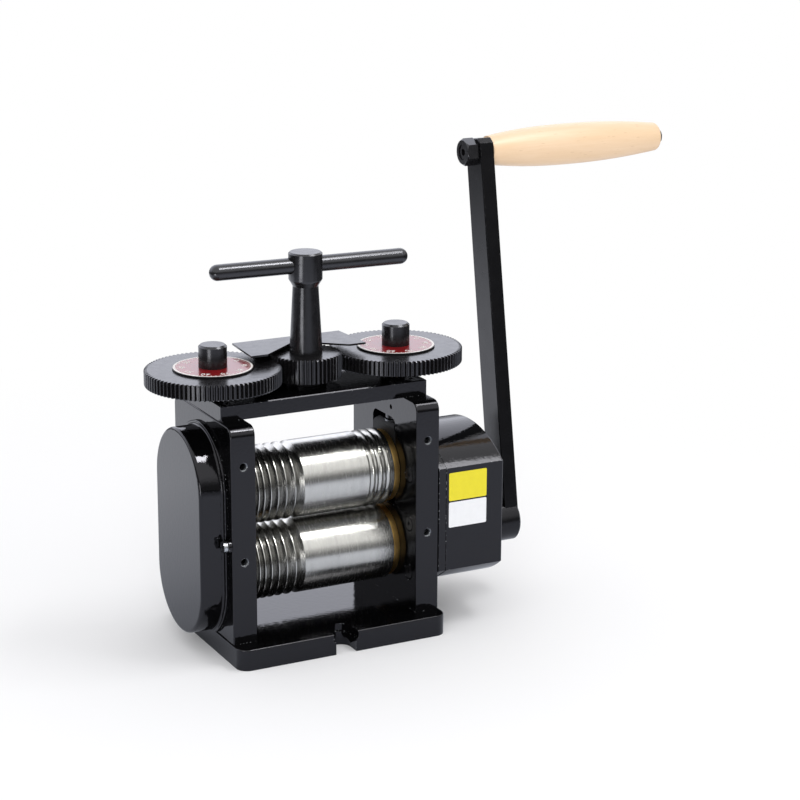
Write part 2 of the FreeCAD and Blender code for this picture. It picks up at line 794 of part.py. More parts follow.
def make_top_plate():
    body = new_body("top_plate_blank")
    half_width = "(frame_outer - top_plate_inset)"
    half_depth = "top_plate_depth / 2"
    corners = [(f"-{half_width}", f"-{half_depth}"), (half_width, f"-{half_depth}")]
    corners += [(half_width, half_depth), (f"-{half_width}", half_depth)]
    sketch = outline(body, "top_plate_outline", "XY_Plane", corners)
    plate = pad(body, sketch, "top_plate_pad", "top_plate_thickness")
    top = number("top_plate_thickness")
    round_edges(
        body, plate, "top_plate_edges", "top_plate_edge",
        lambda edge: runs_along(edge, 2) or abs(edge.CenterOfMass.z - top) < 0.01, "Chamfer")
    bind(body, **{"Placement.Base.z": "frame_top"})
    tall = "top_plate_thickness + 2"
    low = "frame_top - 1"
    tools = [cylinder("column_bush_seat", "column_bush_radius", tall, "0", "0", low)]
    for side in ("-", ""):
        name = "left" if side else "right"
        tools.append(cylinder(
            f"{name}_screw_way", "screw_radius + fastener_fit", tall, f"{side}screw_centre", "0", low))
        for k, offset in enumerate(("-plate_screw_offset", "plate_screw_offset")):
            spot = (f"{side}screw_centre", offset)
            tools.append(cylinder(f"{name}_plate_bore_{k}", "medium_screw_bore", tall, *spot, low))
            tools.append(cylinder(
                f"{name}_plate_counterbore_{k}", "medium_head_radius + head_fit", "plate_screw_head + 1",
                *spot, "plate_top - plate_screw_head - plate_screw_inset"))
    for k, offset in enumerate(("-pointer_screw_offset", "pointer_screw_offset")):
        spot = (offset, "plate_back - pointer_screw_length - 1", "pointer_screw_height")
        tools.append(cylinder(
            f"pointer_thread_{k}", "small_thread", "pointer_screw_length + 2", *spot, "Y"))
    subpart(cut("top_plate_cut", body, tools), "top_plate")


def make_frame_screws():
    screws = []
    for k, (side, spot) in enumerate(base_screw_places()):
        screws.append(cap_screw(
            f"base_screw_{k}", "large_screw_radius", "large_head_radius", "base_screw_head",
            "base_screw_length", f"{side}screw_centre", spot, "base_screw_inset", head_first=True))
    subpart(group("base_screw_set", screws), "base_screws")
    screws = []
    for side in ("-", ""):
        for offset in ("-plate_screw_offset", "plate_screw_offset"):
            k = len(screws)
            screws.append(cap_screw(
                f"plate_screw_{k}", "medium_screw_radius", "medium_head_radius", "plate_screw_head",
                "plate_screw_length", f"{side}screw_centre", offset,
                "plate_top - plate_screw_inset - plate_screw_head - plate_screw_length"))
    subpart(group("plate_screw_set", screws), "top_plate_screws")


# ---------------------------------------------------------------- rollers and their bearings


def groove_profile(start, grooved_right):
    """Points (x, radius) of a barrel from its left end: V grooves that widen, and half-round ones."""
    points = []
    at = f"({start})"
    for k in range(int(number("groove_count"))):
        share = f"(groove_width + {k} * groove_growth)"
        points.append((at, "roller_radius"))
        points.append((f"{at} + {share} / 2", f"roller_radius - {share} / 2"))
        points.append((f"{at} + {share}", "roller_radius"))
        at = f"{at} + {share} + groove_land"
    if grooved_right:
        count = int(number("round_groove_count"))
        for k in range(count):
            middle = f"(roller_length / 2 - round_groove_margin - round_groove_pitch * {count - k - 0.5})"
            for step in range(SLENDER_SIDES + 1):
                turn = math.pi * step / SLENDER_SIDES
                across = round(-math.cos(turn), 6)
                down = round(math.sin(turn), 6)
                points.append((
                    f"{middle} + round_groove_radius * ({across})",
                    f"roller_radius - round_groove_radius * {down}"))
    return points


def roller(label, axis, grooved_right, right_end):
    half = "roller_length / 2"
    corners = [("-left_neck_end", "0"), ("-left_neck_end", "gear_seat")]
    corners += [("-roller_gear_start", "gear_seat"), ("-roller_gear_start", "neck_radius")]
    corners += [(f"-{half}", "neck_radius"), (f"-{half}", "roller_radius - roller_edge")]
    corners += [(f"-{half} + roller_edge", "roller_radius")]
    corners += groove_profile(f"-{half} + groove_start", grooved_right)
    corners += [(f"{half} - roller_edge", "roller_radius"), (half, "roller_radius - roller_edge")]
    corners += [(half, "neck_radius")]
    corners += right_end
    body = turned_body(label + "_blank", corners)
    bind(body, **{"Placement.Base.z": axis})
    return body


def key_block(name, low, high, axis, radius):
    """A parallel key along X in the underside of a shaft's seat."""
    return block(
        name, f"({high}) - ({low})", "key_width", "key_height",
        low, "-key_width / 2", f"{axis} - ({radius}) - key_reach")


def make_rollers():
    seat = "gear_seat"
    upper_end = [("frame_outer - 0.4", "neck_radius"), ("frame_outer - 0.4", "0")]
    upper = roller("upper_roller", "upper_axis", True, upper_end)
    lower_end = [("output_gear_start", "neck_radius"), ("output_gear_start", seat)]
    lower_end += [("right_neck_end", seat), ("right_neck_end", "0")]
    lower = roller("lower_roller", "roller_axis", False, lower_end)
    for label, blank, axis in (("upper", upper, "upper_axis"), ("lower", lower, "roller_axis")):
        low = "-roller_gear_end + 0.3"
        high = "-roller_gear_start - 0.3"
        tools = [key_block(f"{label}_key_seat", low, high, axis, seat)]
        if label == "lower":
            tools.append(key_block(
                "output_key_seat", "output_gear_start + 0.3", "output_gear_end - 0.3", axis, seat))
            tools.append(cylinder(
                "pilot_bore", "crank_pilot_radius + running_clearance", "pilot_depth + 2",
                "right_neck_end - pilot_depth - 1", "0", axis, "X"))
        subpart(cut(f"{label}_roller_cut", blank, tools), f"{label}_roller")
        subpart(key_block(f"{label}_key", low, high, axis, seat), f"{label}_roller_gear_key")
    subpart(
        key_block("output_key", "output_gear_start + 0.3", "output_gear_end - 0.3", "roller_axis", seat),
        "output_gear_key")


def flanged_bush(label, side, axis, flange_back, sleeve_end):
    """A bronze bush with a thrust flange against the roller's end face."""
    bore = "neck_radius + running_clearance"
    points = [("flange_face", bore), ("flange_face", "bush_flange_radius")]
    points += [(flange_back, "bush_flange_radius"), (flange_back, "bush_radius")]
    points += [(sleeve_end, "bush_radius"), (sleeve_end, bore)]
    if side < 0:
        points = [(f"-({across})", up) for across, up in points]
    body = turned_body(label + "_blank", points)
    bind(body, **{"Placement.Base.z": axis})
    subpart(body, label)


def make_chock(label, side):
    """A steel block that slides in the frame's window and carries the upper roller's bush."""
    body = new_body(label + "_blank")
    half = "chock_half_width"
    corners = [(f"-{half}", "chock_bottom"), (half, "chock_bottom")]
    corners += [(half, "chock_top - chock_corner"), (f"{half} - chock_corner", "chock_top")]
    corners += [(f"-{half} + chock_corner", "chock_top"), (f"-{half}", "chock_top - chock_corner")]
    sketch = outline(body, label + "_outline", "YZ_Plane", corners)
    pad(body, sketch, label + "_pad", "chock_thickness")
    start = "chock_inner" if side > 0 else "-chock_inner - chock_thickness"
    bind(body, **{"Placement.Base.x": start})
    inner = "chock_inner" if side > 0 else "-chock_inner"
    toward = "" if side > 0 else "-"
    wedge = new_body(label + "_edge")
    corners = [(f"{inner} - {toward}1", "chock_top + 1")]
    corners += [(f"{inner} - {toward}1", "chock_top - chock_edge_down")]
    corners += [(inner, "chock_top - chock_edge_down"), (f"{inner} + {toward}chock_edge_across", "chock_top")]
    corners += [(f"{inner} + {toward}chock_edge_across", "chock_top + 1")]
    sketch = outline(wedge, label + "_edge_outline", "XZ_Plane", corners)
    pad(wedge, sketch, label + "_edge_pad", "2 * chock_half_width + 2")
    bind(wedge, **{"Placement.Base.y": "chock_half_width + 1"})
    middle = "screw_centre" if side > 0 else "-screw_centre"
    tools = [cylinder(
        label + "_bore", "bush_radius", "chock_thickness + 2", f"{start} - 1", "0", "upper_axis", "X")]
    recess = "thrust_pad_recess"
    tools.append(cylinder(
        label + "_recess", "thrust_pad_radius", f"{recess} + 1", middle, "0", f"chock_top - {recess}"))
    tools.append(wedge)
    for k, offset in enumerate(("-spring_offset", "spring_offset")):
        spot = (middle, offset, "chock_bottom - 1")
        tools.append(cylinder(f"{label}_pocket_{k}", "spring_pocket_radius", "chock_pocket_depth + 1", *spot))
    subpart(cut(label + "_cut", body, tools), label)


def make_bearings():
    for side, name in ((-1, "left"), (1, "right")):
        flanged_bush(
            f"lower_{name}_bush", side, "roller_axis", "frame_inner", "frame_outer - bush_sleeve_inset")
        flanged_bush(
            f"upper_{name}_bush", side, "upper_axis", "chock_inner",
            "chock_inner + chock_thickness - bush_sleeve_inset")
        make_chock(f"upper_{name}_chock", side)
    pads = []
    for side in ("-", ""):
        pads.append(cylinder(
            f"pad_{len(pads)}", "thrust_pad_radius", "thrust_pad_recess + thrust_pad_stand_out",
            f"{side}screw_centre", "0", "chock_top - thrust_pad_recess"))
    subpart(group("pad_set", pads), "thrust_pads")


def make_springs():
    low = number("window_floor") - number("frame_pocket_depth")
    high = number("chock_bottom") + number("chock_pocket_depth")
    shape = spring_shape(high - low)
    springs = []
    for side in (-1, 1):
        for offset in (-1, 1):
            name = f"spring_{len(springs)}"
            x = side * number("screw_centre")
            springs.append(shaped(name, shape.copy(), x, offset * number("spring_offset"), low))
    subpart(group("spring_set", springs), "return_springs")


def make_roller_gears():
    end = -number("roller_gear_end")
    lower = shaped("lower_gear_shape", roller_gear(True), end, 0, number("roller_axis"), "X")
    upper = shaped("upper_gear_shape", roller_gear(False), end, 0, number("upper_axis"), "X")
    subpart(lower, "lower_roller_gear")
    subpart(upper, "upper_roller_gear")
    for name, axis in (("lower", "roller_axis"), ("upper", "upper_axis")):
        subpart(
            retaining_ring(
                f"{name}_gear_ring", "gear_seat", "-roller_gear_end - 0.05 - ring_thickness", axis),
            f"{name}_roller_gear_ring")


def retaining_ring(name, shaft_radius, start, axis, along="X"):
    outer = cylinder(
        name + "_outer", f"{shaft_radius} + ring_width", "ring_thickness", start, "0", axis, along)
    inner = cylinder(
        name + "_inner", f"{shaft_radius} + thread_clearance", "ring_thickness + 2",
        f"{start} - 1", "0", axis, along)
    return cut(name, outer, [inner])


# ---------------------------------------------------------------- cover over the roller gears


def stadium(name, radius, length, start):
    """A solid of two half cylinders and a block, standing along X from start."""
    low = cylinder(name + "_low", radius, length, start, "0", "cover_low_centre", "X")
    high = cylinder(name + "_high", radius, length, start, "0", "cover_high_centre", "X")
    middle = block(
        name + "_middle", length, f"2 * ({radius})", "cover_high_centre - cover_low_centre",
        start, f"-({radius})", "cover_low_centre")
    return fuse(name, [low, high, middle])


def make_cover():
    outer = stadium("cover_outer", "cover_radius", "cover_length", "-frame_outer - cover_length")
    lip = stadium("cover_lip_plate", "cover_flange_radius", "cover_flange", "-frame_outer - cover_flange")
    blank = fuse("cover_blank", [outer, lip])
    doc.recompute()
    rounded = doc.addObject("Part::Fillet", "cover_rounded")
    rounded.Base = blank
    end = -number("frame_outer") - number("cover_length")
    lip_face = -number("frame_outer") - number("cover_flange")
    inside = number("cover_radius") + number("cover_lip") / 2
    rims = []
    for k, edge in enumerate(blank.Shape.Edges, 1):
        box = edge.BoundBox
        if abs(box.XMax - end) < 0.01:
            rims.append((k, number("cover_edge_round")))
        elif box.XLength < 0.01 and abs(box.XMax - lip_face) < 0.01:
            at_wall = max(abs(box.YMin), abs(box.YMax)) < inside
            rims.append((k, number("cover_bend_round" if at_wall else "cover_lip_round")))
    rounded.Edges = [(k, radius, radius) for k, radius in rims]
    foot = block(
        "cover_foot_trim", "cover_flange + 1", "4 * cover_radius", "base_thickness * 4",
        "-frame_outer - cover_flange", "-2 * cover_radius", "cover_foot_clearance - base_thickness * 3")
    below = block(
        "cover_bend_below", "cover_bend_round + 1", "4 * cover_radius", "base_thickness * 4",
        "-frame_outer - cover_flange - cover_bend_round", "-2 * cover_radius",
        "cover_foot_clearance - base_thickness * 3")
    wall = stadium("cover_wall_keep", "cover_radius", "cover_length", "-frame_outer - cover_length")
    shell = cut("cover_shell", rounded, [foot, cut("cover_bend_trim", below, [wall])])
    ears = []
    for k, offset in enumerate(("-cover_screw_offset", "cover_screw_offset")):
        spot = ("-frame_outer - cover_flange", offset, "cover_screw_height")
        ears.append(cylinder(f"cover_ear_{k}", "cover_ear_radius", "cover_flange", *spot, "X"))
    whole = fuse("cover_whole", [shell] + ears)
    tools = [stadium(
        "cover_hollow", "(cover_radius - cover_wall)", "cover_length - cover_wall + 1",
        "-frame_outer - cover_length + cover_wall")]
    for k, offset in enumerate(("-cover_screw_offset", "cover_screw_offset")):
        spot = ("-frame_outer - cover_flange - 1", offset, "cover_screw_height")
        tools.append(cylinder(f"cover_hole_{k}", "small_screw_bore", "cover_flange + 2", *spot, "X"))
    subpart(cut("cover_cut", whole, tools), "left_gear_cover")
    screws = []
    for k, offset in enumerate(("-cover_screw_offset", "cover_screw_offset")):
        screws.append(cap_screw(
            f"cover_screw_{k}", "small_screw_radius", "cover_screw_head_radius", "cover_screw_head",
            "cover_flange + cover_screw_length", "-frame_outer - cover_flange - cover_screw_head", offset,
            "cover_screw_height", "X", head_first=True))
    subpart(group("cover_screw_set", screws), "cover_screws")


# ---------------------------------------------------------------- gearbox


def gearbox_screw_places():
    heights = [f"gearbox_screw_low + {k} * gearbox_screw_pitch" for k in range(3)]
    return [(side + "gearbox_screw_offset", height) for side in ("-", "") for height in heights]


def barrel_outline(inset):
    """Flat front and back, arched top and bottom: a face in the YZ plane, inset by a wall."""
    half_depth = number("gearbox_half_depth") - inset
    arch = number("gearbox_half_height") - inset
    side = number("gearbox_side_half")
    low_front = FreeCAD.Vector(0, -half_depth, -side)
    low_back = FreeCAD.Vector(0, half_depth, -side)
    high_back = FreeCAD.Vector(0, half_depth, side)
    high_front = FreeCAD.Vector(0, -half_depth, side)
    bottom = Part.Arc(low_front, FreeCAD.Vector(0, 0, -arch), low_back).toShape()
    back = Part.LineSegment(low_back, high_back).toShape()
    top = Part.Arc(high_back, FreeCAD.Vector(0, 0, arch), high_front).toShape()
    front = Part.LineSegment(high_front, low_front).toShape()
    return Part.Face(Part.Wire([bottom, back, top, front]))


def barrel_solid(name, inset, start, length):
    shape = barrel_outline(inset).extrude(FreeCAD.Vector(length, 0, 0))
    return shaped(name, shape, start, 0, number("gearbox_middle"))


def make_gearbox():
    back = number("gearbox_back")
    wall = number("gearbox_wall")
    plate = barrel_solid("back_plate_blank", 0.3, number("frame_outer"), number("back_plate_thickness"))
    boss = cylinder(
        "back_plate_boss", "back_plate_boss_radius", "back_plate_boss_length", "gearbox_back", "0",
        "layshaft_axis", "X")
    plate = fuse("back_plate_solid", [plate, boss])
    tools = [
        cylinder(
            "back_plate_neck_way", "neck_radius + neck_way_clearance", "back_plate_thickness + 4",
            "frame_outer - 1", "0", "roller_axis", "X"),
        cylinder(
            "back_plate_bush_seat", "layshaft_bush_radius", "back_plate_thickness + 4",
            "frame_outer + 0.3", "0", "layshaft_axis", "X"),
    ]
    for k, (offset, height) in enumerate(gearbox_screw_places()):
        tools.append(cylinder(
            f"back_plate_bore_{k}", "gearbox_screw_bore", "back_plate_thickness + 2", "frame_outer - 1",
            offset, height, "X"))
    subpart(cut("back_plate_cut", plate, tools), "gearbox_back_plate")

    outer = barrel_solid("gearbox_outer", 0.0, back, number("gearbox_length"))
    doc.recompute()
    rounded = doc.addObject("Part::Fillet", "gearbox_rounded")
    rounded.Base = outer
    end = back + number("gearbox_length")
    radius = number("gearbox_edge_round")
    rounded.Edges = [
        (k, radius, radius) for k, edge in enumerate(outer.Shape.Edges, 1)
        if abs(edge.BoundBox.XMin - end) < 0.01]
    hollow = barrel_solid("gearbox_hollow", wall, back - 1, number("gearbox_length") - wall + 1)
    shell = cut("gearbox_shell", rounded, [hollow])
    bosses = [cylinder(
        "crank_boss", "gearbox_boss_radius", "gearbox_boss_length + gearbox_wall + 4",
        "gearbox_end - gearbox_wall - 4", "0", "roller_axis", "X")]
    bosses.append(cylinder(
        "layshaft_boss", "layshaft_boss_radius", "layshaft_boss_length + 0.1",
        "gearbox_end - gearbox_wall - layshaft_boss_length", "0", "layshaft_axis", "X"))
    for k, (offset, height) in enumerate(gearbox_screw_places()):
        boss = "gearbox_boss_size"
        bosses.append(cylinder(
            f"gearbox_screw_boss_{k}", boss, "gearbox_boss_depth", "gearbox_back", offset, height, "X"))
        reach = "gearbox_screw_inset - gearbox_wall / 2"
        start = f"{offset} - ({reach})" if offset.startswith("-") else offset
        bosses.append(block(
            f"gearbox_screw_rib_{k}", "gearbox_boss_depth", reach, f"{boss} * 1.4", "gearbox_back", start,
            f"{height} - {boss} * 0.7"))
    whole = fuse("gearbox_whole", [shell] + bosses)
    tools = [
        cylinder(
            "crank_bush_seat", "crank_bush_radius", "gearbox_boss_length + 10",
            "gearbox_end - gearbox_wall - 5", "0", "roller_axis", "X"),
        cylinder(
            "layshaft_far_seat", "layshaft_bush_radius", "layshaft_boss_length + 0.1",
            "gearbox_end - gearbox_wall - layshaft_boss_length - 0.1", "0", "layshaft_axis", "X"),
    ]
    for k, (offset, height) in enumerate(gearbox_screw_places()):
        tools.append(cylinder(
            f"gearbox_thread_{k}", "gearbox_thread", "10.5", "gearbox_back - 0.5", offset, height, "X"))
    outside = barrel_solid("gearbox_outside", 0.0, back, number("gearbox_length") + 40)
    trimmed = doc.addObject("Part::Common", "gearbox_trimmed")
    trimmed.Base = whole
    trimmed.Tool = outside
    subpart(cut("gearbox_cut", trimmed, tools), "gearbox_cover")

    screws = []
    for offset, height in gearbox_screw_places():
        screws.append(cap_screw(
            f"gearbox_screw_{len(screws)}", "gearbox_screw_radius", "gearbox_head_radius",
            "gearbox_screw_head", "frame_thickness - gearbox_screw_head + back_plate_thickness + 9",
            "frame_inner", offset, height, "X", head_first=True))
    subpart(group("gearbox_screw_set", screws), "gearbox_screws")


def plain_bush(label, start, end, inner, outer, axis):
    blank = cylinder(label + "_outer", outer, f"({end}) - ({start})", start, "0", axis, "X")
    bore = cylinder(label + "_bore", inner, f"({end}) - ({start}) + 2", f"{start} - 1", "0", axis, "X")
    return cut(label + "_cut", blank, [bore])


def make_drive():
    reach = number("key_reach")
    output = reduction_gear("output_gear_teeth", "output_gear_width", number("gear_seat"), True, reach)
    subpart(
        shaped("output_gear_shape", output, number("output_gear_start"), 0, number("roller_axis"), "X"),
        "output_gear")
    subpart(
        retaining_ring("output_ring", "gear_seat", "output_gear_end + 0.05", "roller_axis"),
        "output_gear_ring")
    shaft_radius = "layshaft_radius"
    corners = [("layshaft_start", "0"), ("layshaft_start", shaft_radius), ("output_gear_end", shaft_radius)]
    corners += [("output_gear_end", "layshaft_collar_radius"), ("input_gear_start", "layshaft_collar_radius")]
    corners += [("input_gear_start", shaft_radius), ("layshaft_end", shaft_radius), ("layshaft_end", "0")]
    body = turned_body("layshaft_blank", corners)
    bind(body, **{"Placement.Base.z": "layshaft_axis"})
    spans = (
        ("output", "output_gear_start + 0.3", "output_gear_end - 0.3"),
        ("input", "input_gear_start + 0.3", "input_gear_end - 0.3"),
    )
    seats = []
    keys = []
    for name, low, high in spans:
        seats.append(key_block(f"layshaft_{name}_seat", low, high, "layshaft_axis", shaft_radius))
        keys.append(key_block(f"layshaft_{name}_key", low, high, "layshaft_axis", shaft_radius))
    subpart(cut("layshaft_cut", body, seats), "layshaft")
    subpart(group("layshaft_key_set", keys), "layshaft_keys")
    bore = number("layshaft_radius")
    axis = number("layshaft_axis")
    large = reduction_gear("layshaft_gear_teeth", "input_gear_width", bore, False, reach)
    subpart(shaped("layshaft_gear_shape", large, number("input_gear_start"), 0, axis, "X"), "layshaft_gear")
    small = reduction_gear("output_gear_teeth", "output_gear_width", bore, False, reach)
    subpart(
        shaped("layshaft_pinion_shape", small, number("output_gear_start"), 0, axis, "X"),
        "layshaft_pinion")
    running = "layshaft_radius + running_clearance"
    bushes = [
        plain_bush(
            "near_bush", "frame_outer + 0.3", "gearbox_back + back_plate_boss_length", running,
            "layshaft_bush_radius", "layshaft_axis"),
        plain_bush(
            "far_bush", "gearbox_end - gearbox_wall - layshaft_boss_length", "gearbox_end - gearbox_wall",
            running, "layshaft_bush_radius", "layshaft_axis"),
    ]
    subpart(group("layshaft_bush_set", bushes), "layshaft_bushes")
    subpart(
        plain_bush(
            "crank_bush", "gearbox_end - gearbox_wall - 4", "boss_end",
            "crank_shaft_radius + running_clearance", "crank_bush_radius", "roller_axis"),
        "crank_shaft_bush")


# ---------------------------------------------------------------- crank


def lean(item):
    """Stand a crank piece, made upright about the X axis, on the shaft at the crank's rest angle."""
    item.Placement = FreeCAD.Placement(
        FreeCAD.Vector(), FreeCAD.Rotation(FreeCAD.Vector(1, 0, 0), -number("crank_lean")))
    item.setExpression("Placement.Base.z", full("roller_axis"))
    item.setExpression("Placement.Rotation.Angle", full("-crank_lean"))
    return item


def make_crank_shaft():
    radius = "crank_shaft_radius"
    corners = [("right_neck_end - pilot_depth", "0"), ("right_neck_end - pilot_depth", "crank_pilot_radius")]
    corners += [("input_gear_start - 1", "crank_pilot_radius"), ("input_gear_start - 1", radius)]
    corners += [("arm_outer - 0.4", radius), ("arm_outer - 0.4", "0")]
    shaft = turned_body("crank_shaft_blank", corners)
    bind(shaft, **{"Placement.Base.z": "roller_axis"})
    pinion = reduction_gear("crank_pinion_teeth", "input_gear_width", 0.0, True)
    teeth = shaped("crank_pinion_shape", pinion, number("input_gear_start"), 0, number("roller_axis"), "X")
    subpart(fuse("crank_shaft_whole", [shaft, teeth]), "crank_pinion_shaft")


def make_crank_arm():
    body = new_body("crank_arm_blank")
    low = "crank_arm_low_half"
    high = "crank_arm_high_half"
    end = "crank_radius + crank_arm_end"
    corner = "crank_arm_corner"
    corners = [(f"-{low}", "0"), (low, "0"), (high, f"{end} - {corner}"), (f"{high} - {corner}", end)]
    corners += [(f"-{high} + {corner}", end), (f"-{high}", f"{end} - {corner}")]
    sketch = outline(body, "crank_arm_outline", "YZ_Plane", corners)
    bar = pad(body, sketch, "crank_arm_pad", "crank_arm_thickness")
    round_edges(
        body, bar, "crank_arm_rim", "crank_arm_edge",
        lambda edge: edge.BoundBox.XLength < 0.01 and edge.BoundBox.ZMax > 0.01)
    bind(body, **{"Placement.Base.x": "arm_inner"})
    corners = [("hub_start", "0"), ("hub_start", "crank_hub_radius - crank_hub_chamfer")]
    corners += [("hub_start + crank_hub_chamfer", "crank_hub_radius")]
    corners += [("arm_outer - crank_hub_chamfer", "crank_hub_radius")]
    corners += [("arm_outer", "crank_hub_radius - crank_hub_chamfer"), ("arm_outer", "0")]
    hub = turned_body("crank_hub", corners)
    shaft_hole = "crank_shaft_radius + thread_clearance"
    bolt_hole = "handle_bolt_radius + thread_clearance"
    tools = [
        cylinder("crank_hub_bore", shaft_hole, "crank_hub_length + 2", "hub_start - 1", "0", "0", "X"),
        cylinder(
            "crank_bolt_bore", bolt_hole, "crank_arm_thickness + 2", "arm_inner - 1", "0", "crank_radius",
            "X"),
        cylinder(
            "crank_grub_bore", "medium_thread", "crank_hub_radius", "hub_start + grub_screw_inset",
            "crank_shaft_radius - 1", "0", "Y"),
    ]
    whole = fuse("crank_arm_whole", [body, hub])
    subpart(lean(cut("crank_arm_cut", whole, tools)), "crank_arm")
    grub = cylinder(
        "grub_body", "medium_screw_radius", "grub_screw_length", "hub_start + grub_screw_inset",
        "crank_shaft_radius + 0.05", "0", "Y")
    socket = hexagon(
        "grub_socket", "grub_screw_socket", "grub_screw_length / 2", "hub_start + grub_screw_inset",
        "crank_shaft_radius + 0.1 + grub_screw_length / 2", "0", "Y")
    subpart(lean(cut("grub_cut", grub, [socket])), "crank_grub_screw")


def make_handle():
    at = "crank_radius"
    start = "nut_start + handle_bolt_recess"
    shank = cylinder("handle_shank", "handle_bolt_radius", f"bolt_seat - ({start})", start, "0", at, "X")
    low = "handle_bolt_head_radius"
    head = cone(
        "handle_head", low, f"{low} - handle_bolt_taper", "handle_bolt_head", "bolt_seat", "0", at, "X")
    bolt = fuse("handle_bolt_whole", [shank, head])
    driver = hexagon(
        "handle_driver", "handle_bolt_socket", "handle_bolt_head", "bolt_seat + handle_bolt_head * 0.4",
        "0", at, "X")
    drive = hexagon(
        "handle_drive", "handle_bolt_drive", "handle_nut_height * 0.4 + 1", f"{start} - 1", "0", at, "X")
    subpart(lean(cut("handle_bolt_cut", bolt, [driver, drive])), "handle_bolt")
    nut = hexagon("handle_nut_blank", "handle_nut_width", "handle_nut_height", "nut_start", "0", at, "X")
    round_off = cone(
        "handle_nut_round", "handle_nut_width * 0.5", "handle_nut_width * 1.2", "handle_nut_width * 0.7",
        "nut_start", "0", at, "X")
    shaped_nut = doc.addObject("Part::Common", "handle_nut_shaped")
    shaped_nut.Base = nut
    shaped_nut.Tool = round_off
    bore = "handle_bolt_radius + thread_clearance"
    hole = cylinder("handle_nut_bore", bore, "handle_nut_height + 2", "nut_start - 1", "0", at, "X")
    subpart(lean(cut("handle_nut_cut", shaped_nut, [hole])), "handle_nut")


def make_grip():
    """A turned wooden grip with a smooth swell, free to turn on its bolt."""
    length = number("grip_length")
    end = number("grip_end_radius")
    swell = number("grip_swell_radius")
    corner = number("grip_end_round")
    bore = number("handle_bolt_radius") + 2 * number("running_clearance")
    rise = swell - end
    shares = ((0.0, 0.0), (0.10, 0.42), (0.26, 0.85), (0.47, 1.0), (0.68, 0.84), (0.87, 0.40))
    curve = [FreeCAD.Vector(share * length, 0, end + rise * up) for share, up in shares]
    curve.append(FreeCAD.Vector(length - corner, 0, end))
    swelling = Part.BSplineCurve()
    swelling.interpolate(curve)
    tip_low = FreeCAD.Vector(length, 0, end - corner)
    middle = FreeCAD.Vector(length - 0.3 * corner, 0, end - 0.3 * corner)
    edges = [
        swelling.toShape(),
        Part.Arc(curve[-1], middle, tip_low).toShape(),
        Part.LineSegment(tip_low, FreeCAD.Vector(length, 0, bore)).toShape(),
        Part.LineSegment(FreeCAD.Vector(length, 0, bore), FreeCAD.Vector(0, 0, bore)).toShape(),
        Part.LineSegment(FreeCAD.Vector(0, 0, bore), curve[0]).toShape(),
    ]
    profile = Part.Face(Part.Wire(edges))
    solid = profile.revolve(FreeCAD.Vector(), FreeCAD.Vector(1, 0, 0), 360)
    lean_turn = FreeCAD.Rotation(FreeCAD.Vector(1, 0, 0), -number("crank_lean"))
    spot = lean_turn.multVec(FreeCAD.Vector(number("grip_start"), 0, number("crank_radius")))
    item = doc.addObject("Part::Feature", "grip_shape")
    item.Shape = solid
    item.Placement = FreeCAD.Placement(spot + FreeCAD.Vector(0, 0, number("roller_axis")), lean_turn)
    subpart(item, "handle_grip")


# ---------------------------------------------------------------- pressure screws and T-handle


def make_pressure_screw(label, side):
    sign = "" if side > 0 else "-"
    low = "pad_top"
    step = "gear_bottom"
    corners = [("0", low), ("screw_radius - 0.8", low), ("screw_radius", f"{low} + 0.8")]
    corners += [("screw_radius", f"{step} - screw_collar"), ("screw_collar_radius", f"{step} - screw_collar")]
    corners += [("screw_collar_radius", step), ("stud_radius", step)]
    corners += [("stud_radius", "stud_top - stud_chamfer"), ("stud_radius - stud_chamfer", "stud_top")]
    corners += [("0", "stud_top")]
    body = turned_body(f"{label}_screw_blank", corners, "Z")
    bind(body, **{"Placement.Base.x": f"{sign}screw_centre"})
    key = (f"{sign}screw_centre + stud_radius - key_reach", "-key_width / 2", "gear_bottom + 0.3")
    size = ("key_height", "key_width", "screw_gear_width - 0.6")
    subpart(cut(f"{label}_screw_cut", body, [block(f"{label}_screw_key_seat", *size, *key)]),
            f"{label}_pressure_screw")
    subpart(block(f"{label}_screw_key", *size, *key), f"{label}_gear_key")
    bore = number("stud_radius") + number("thread_clearance")
    gear = fine_gear("screw_gear_teeth", "screw_gear_width", bore)
    subpart(
        shaped(f"{label}_gear_shape", gear, side * number("screw_centre"), 0, number("gear_bottom")),
        f"{label}_screw_gear")
    disc = cylinder(f"{label}_disc", "dial_radius", "dial_thickness", f"{sign}screw_centre", "0", "gear_top")
    hole = cylinder(
        f"{label}_disc_hole", "stud_radius + thread_clearance", "dial_thickness + 2",
        f"{sign}screw_centre", "0", "gear_top - 1")
    subpart(cut(f"{label}_disc_cut", disc, [hole]), f"{label}_dial")


